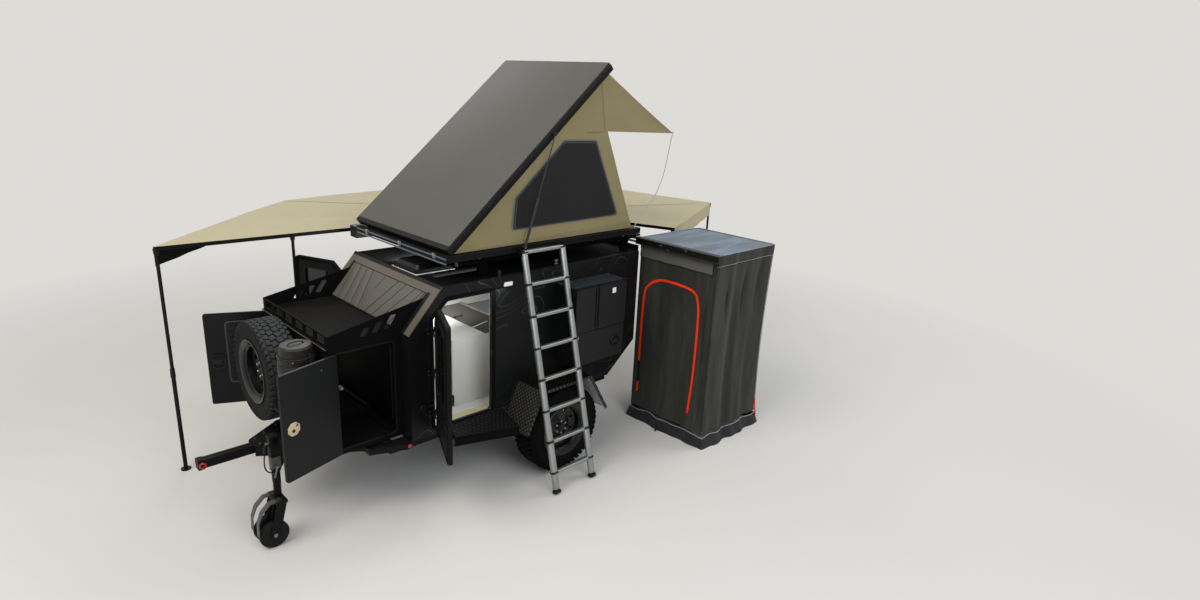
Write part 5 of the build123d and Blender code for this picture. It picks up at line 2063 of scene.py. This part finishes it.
class CanisterFittings(bpy.types.Operator):
    """Clasp, studs and strap of the gas canister's cover"""

    bl_idname = "trailer.canister_fittings"
    bl_label = "Canister fittings"

    def execute(self, context):
        x, y = CANISTER
        heart = at(x, y, 0)
        strap = [(132.2, 1176), (134.5, 1178), (134.5, 1214), (132.2, 1216)]
        bits = [dress(turned(strap, heart, (0, 0, 1), 72), black_rubber)]
        for z in (1372, 1427):
            seam = [(124, z - 3), (129.5, z - 3), (130.5, z), (129.5, z + 3), (124, z + 3)]
            bits.append(dress(turned(seam, heart, (0, 0, 1), 72), bottle_coat))
        for turn in (58, 79):
            out = Vector((math.cos(math.radians(turn)), math.sin(math.radians(turn)), 0))
            bits.append(
                dress(
                    stick(at(x, y, 1412) + out * 0.124, at(x, y, 1412) + out * 0.134, 8, 6, sides=20), brass
                )
            )
        out = Vector((-0.5, 0.866, 0))
        bits.append(
            dress(bar(at(x, y, 1385) + out * 0.129, at(x, y, 1450) + out * 0.121, 22, 8, up=out), zinc)
        )
        handle = [
            at(x - 58, y, 1508), at(x - 50, y, 1522), at(x, y, 1526), at(x + 50, y, 1522), at(x + 58, y, 1508)
        ]
        bits.append(dress(tube(handle, 5), black_plastic))
        piece(bits, "canister_fittings", "trailer")
        nuts = []
        middle = at(*SPARE)
        out = Vector((1, 0, 0))
        nut = stick(middle + Vector((0.036, 0, 0.057)), middle + Vector((0.062, 0, 0.057)), 13, 11, sides=6)
        nuts += [
            dress(ring_of(soften(nut, 0.0015), 6, middle, out), zinc),
            dress(turned(RIM_FLANGE, middle, out, 80), glossy_rim),
        ]
        piece(nuts, "spare_fittings", "trailer")
        return {"FINISHED"}


class Panel(bpy.types.Panel):
    """Sizes, colours and steps of the trailer"""

    bl_idname = "VIEW3D_PT_trailer"
    bl_label = "Teardrop trailer"
    bl_space_type = "VIEW_3D"
    bl_region_type = "UI"
    bl_category = "Trailer"

    def draw(self, context):
        column = self.layout.column()
        for group in (context.scene.trailer_sizes, context.scene.trailer_colours):
            for key in group.__annotations__:
                column.prop(group, key)
        for step in STEPS:
            column.operator(step.bl_idname)


STEPS = (
    Stage, CoatFrame, Tyres, WheelFittings, FenderLining, SillStep, LidSkin, TentWalls, Canopy, Awning,
    Shower, CabinLining, Berth, DoorTrim, NoseTrim, Slope, Drawbar, Ladder, BoxFittings, RoofFittings,
    CanisterFittings,
)
CLASSES = (TrailerColours, TrailerSizes, *STEPS, Panel)


def register():
    for kind in CLASSES:
        bpy.utils.register_class(kind)
    bpy.types.Scene.trailer_colours = PointerProperty(type=TrailerColours)
    bpy.types.Scene.trailer_sizes = PointerProperty(type=TrailerSizes)


def unregister():
    del bpy.types.Scene.trailer_sizes
    del bpy.types.Scene.trailer_colours
    for kind in reversed(CLASSES):
        bpy.utils.unregister_class(kind)


def main():
    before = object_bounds()
    register()
    for step in STEPS:
        group, name = step.bl_idname.split(".")
        getattr(getattr(bpy.ops, group), name)()
    clear()
    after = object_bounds()
    box = [[[float(c) for c in corner] for corner in found] for found in (before, after)]


if __name__ == "__main__":
    main()
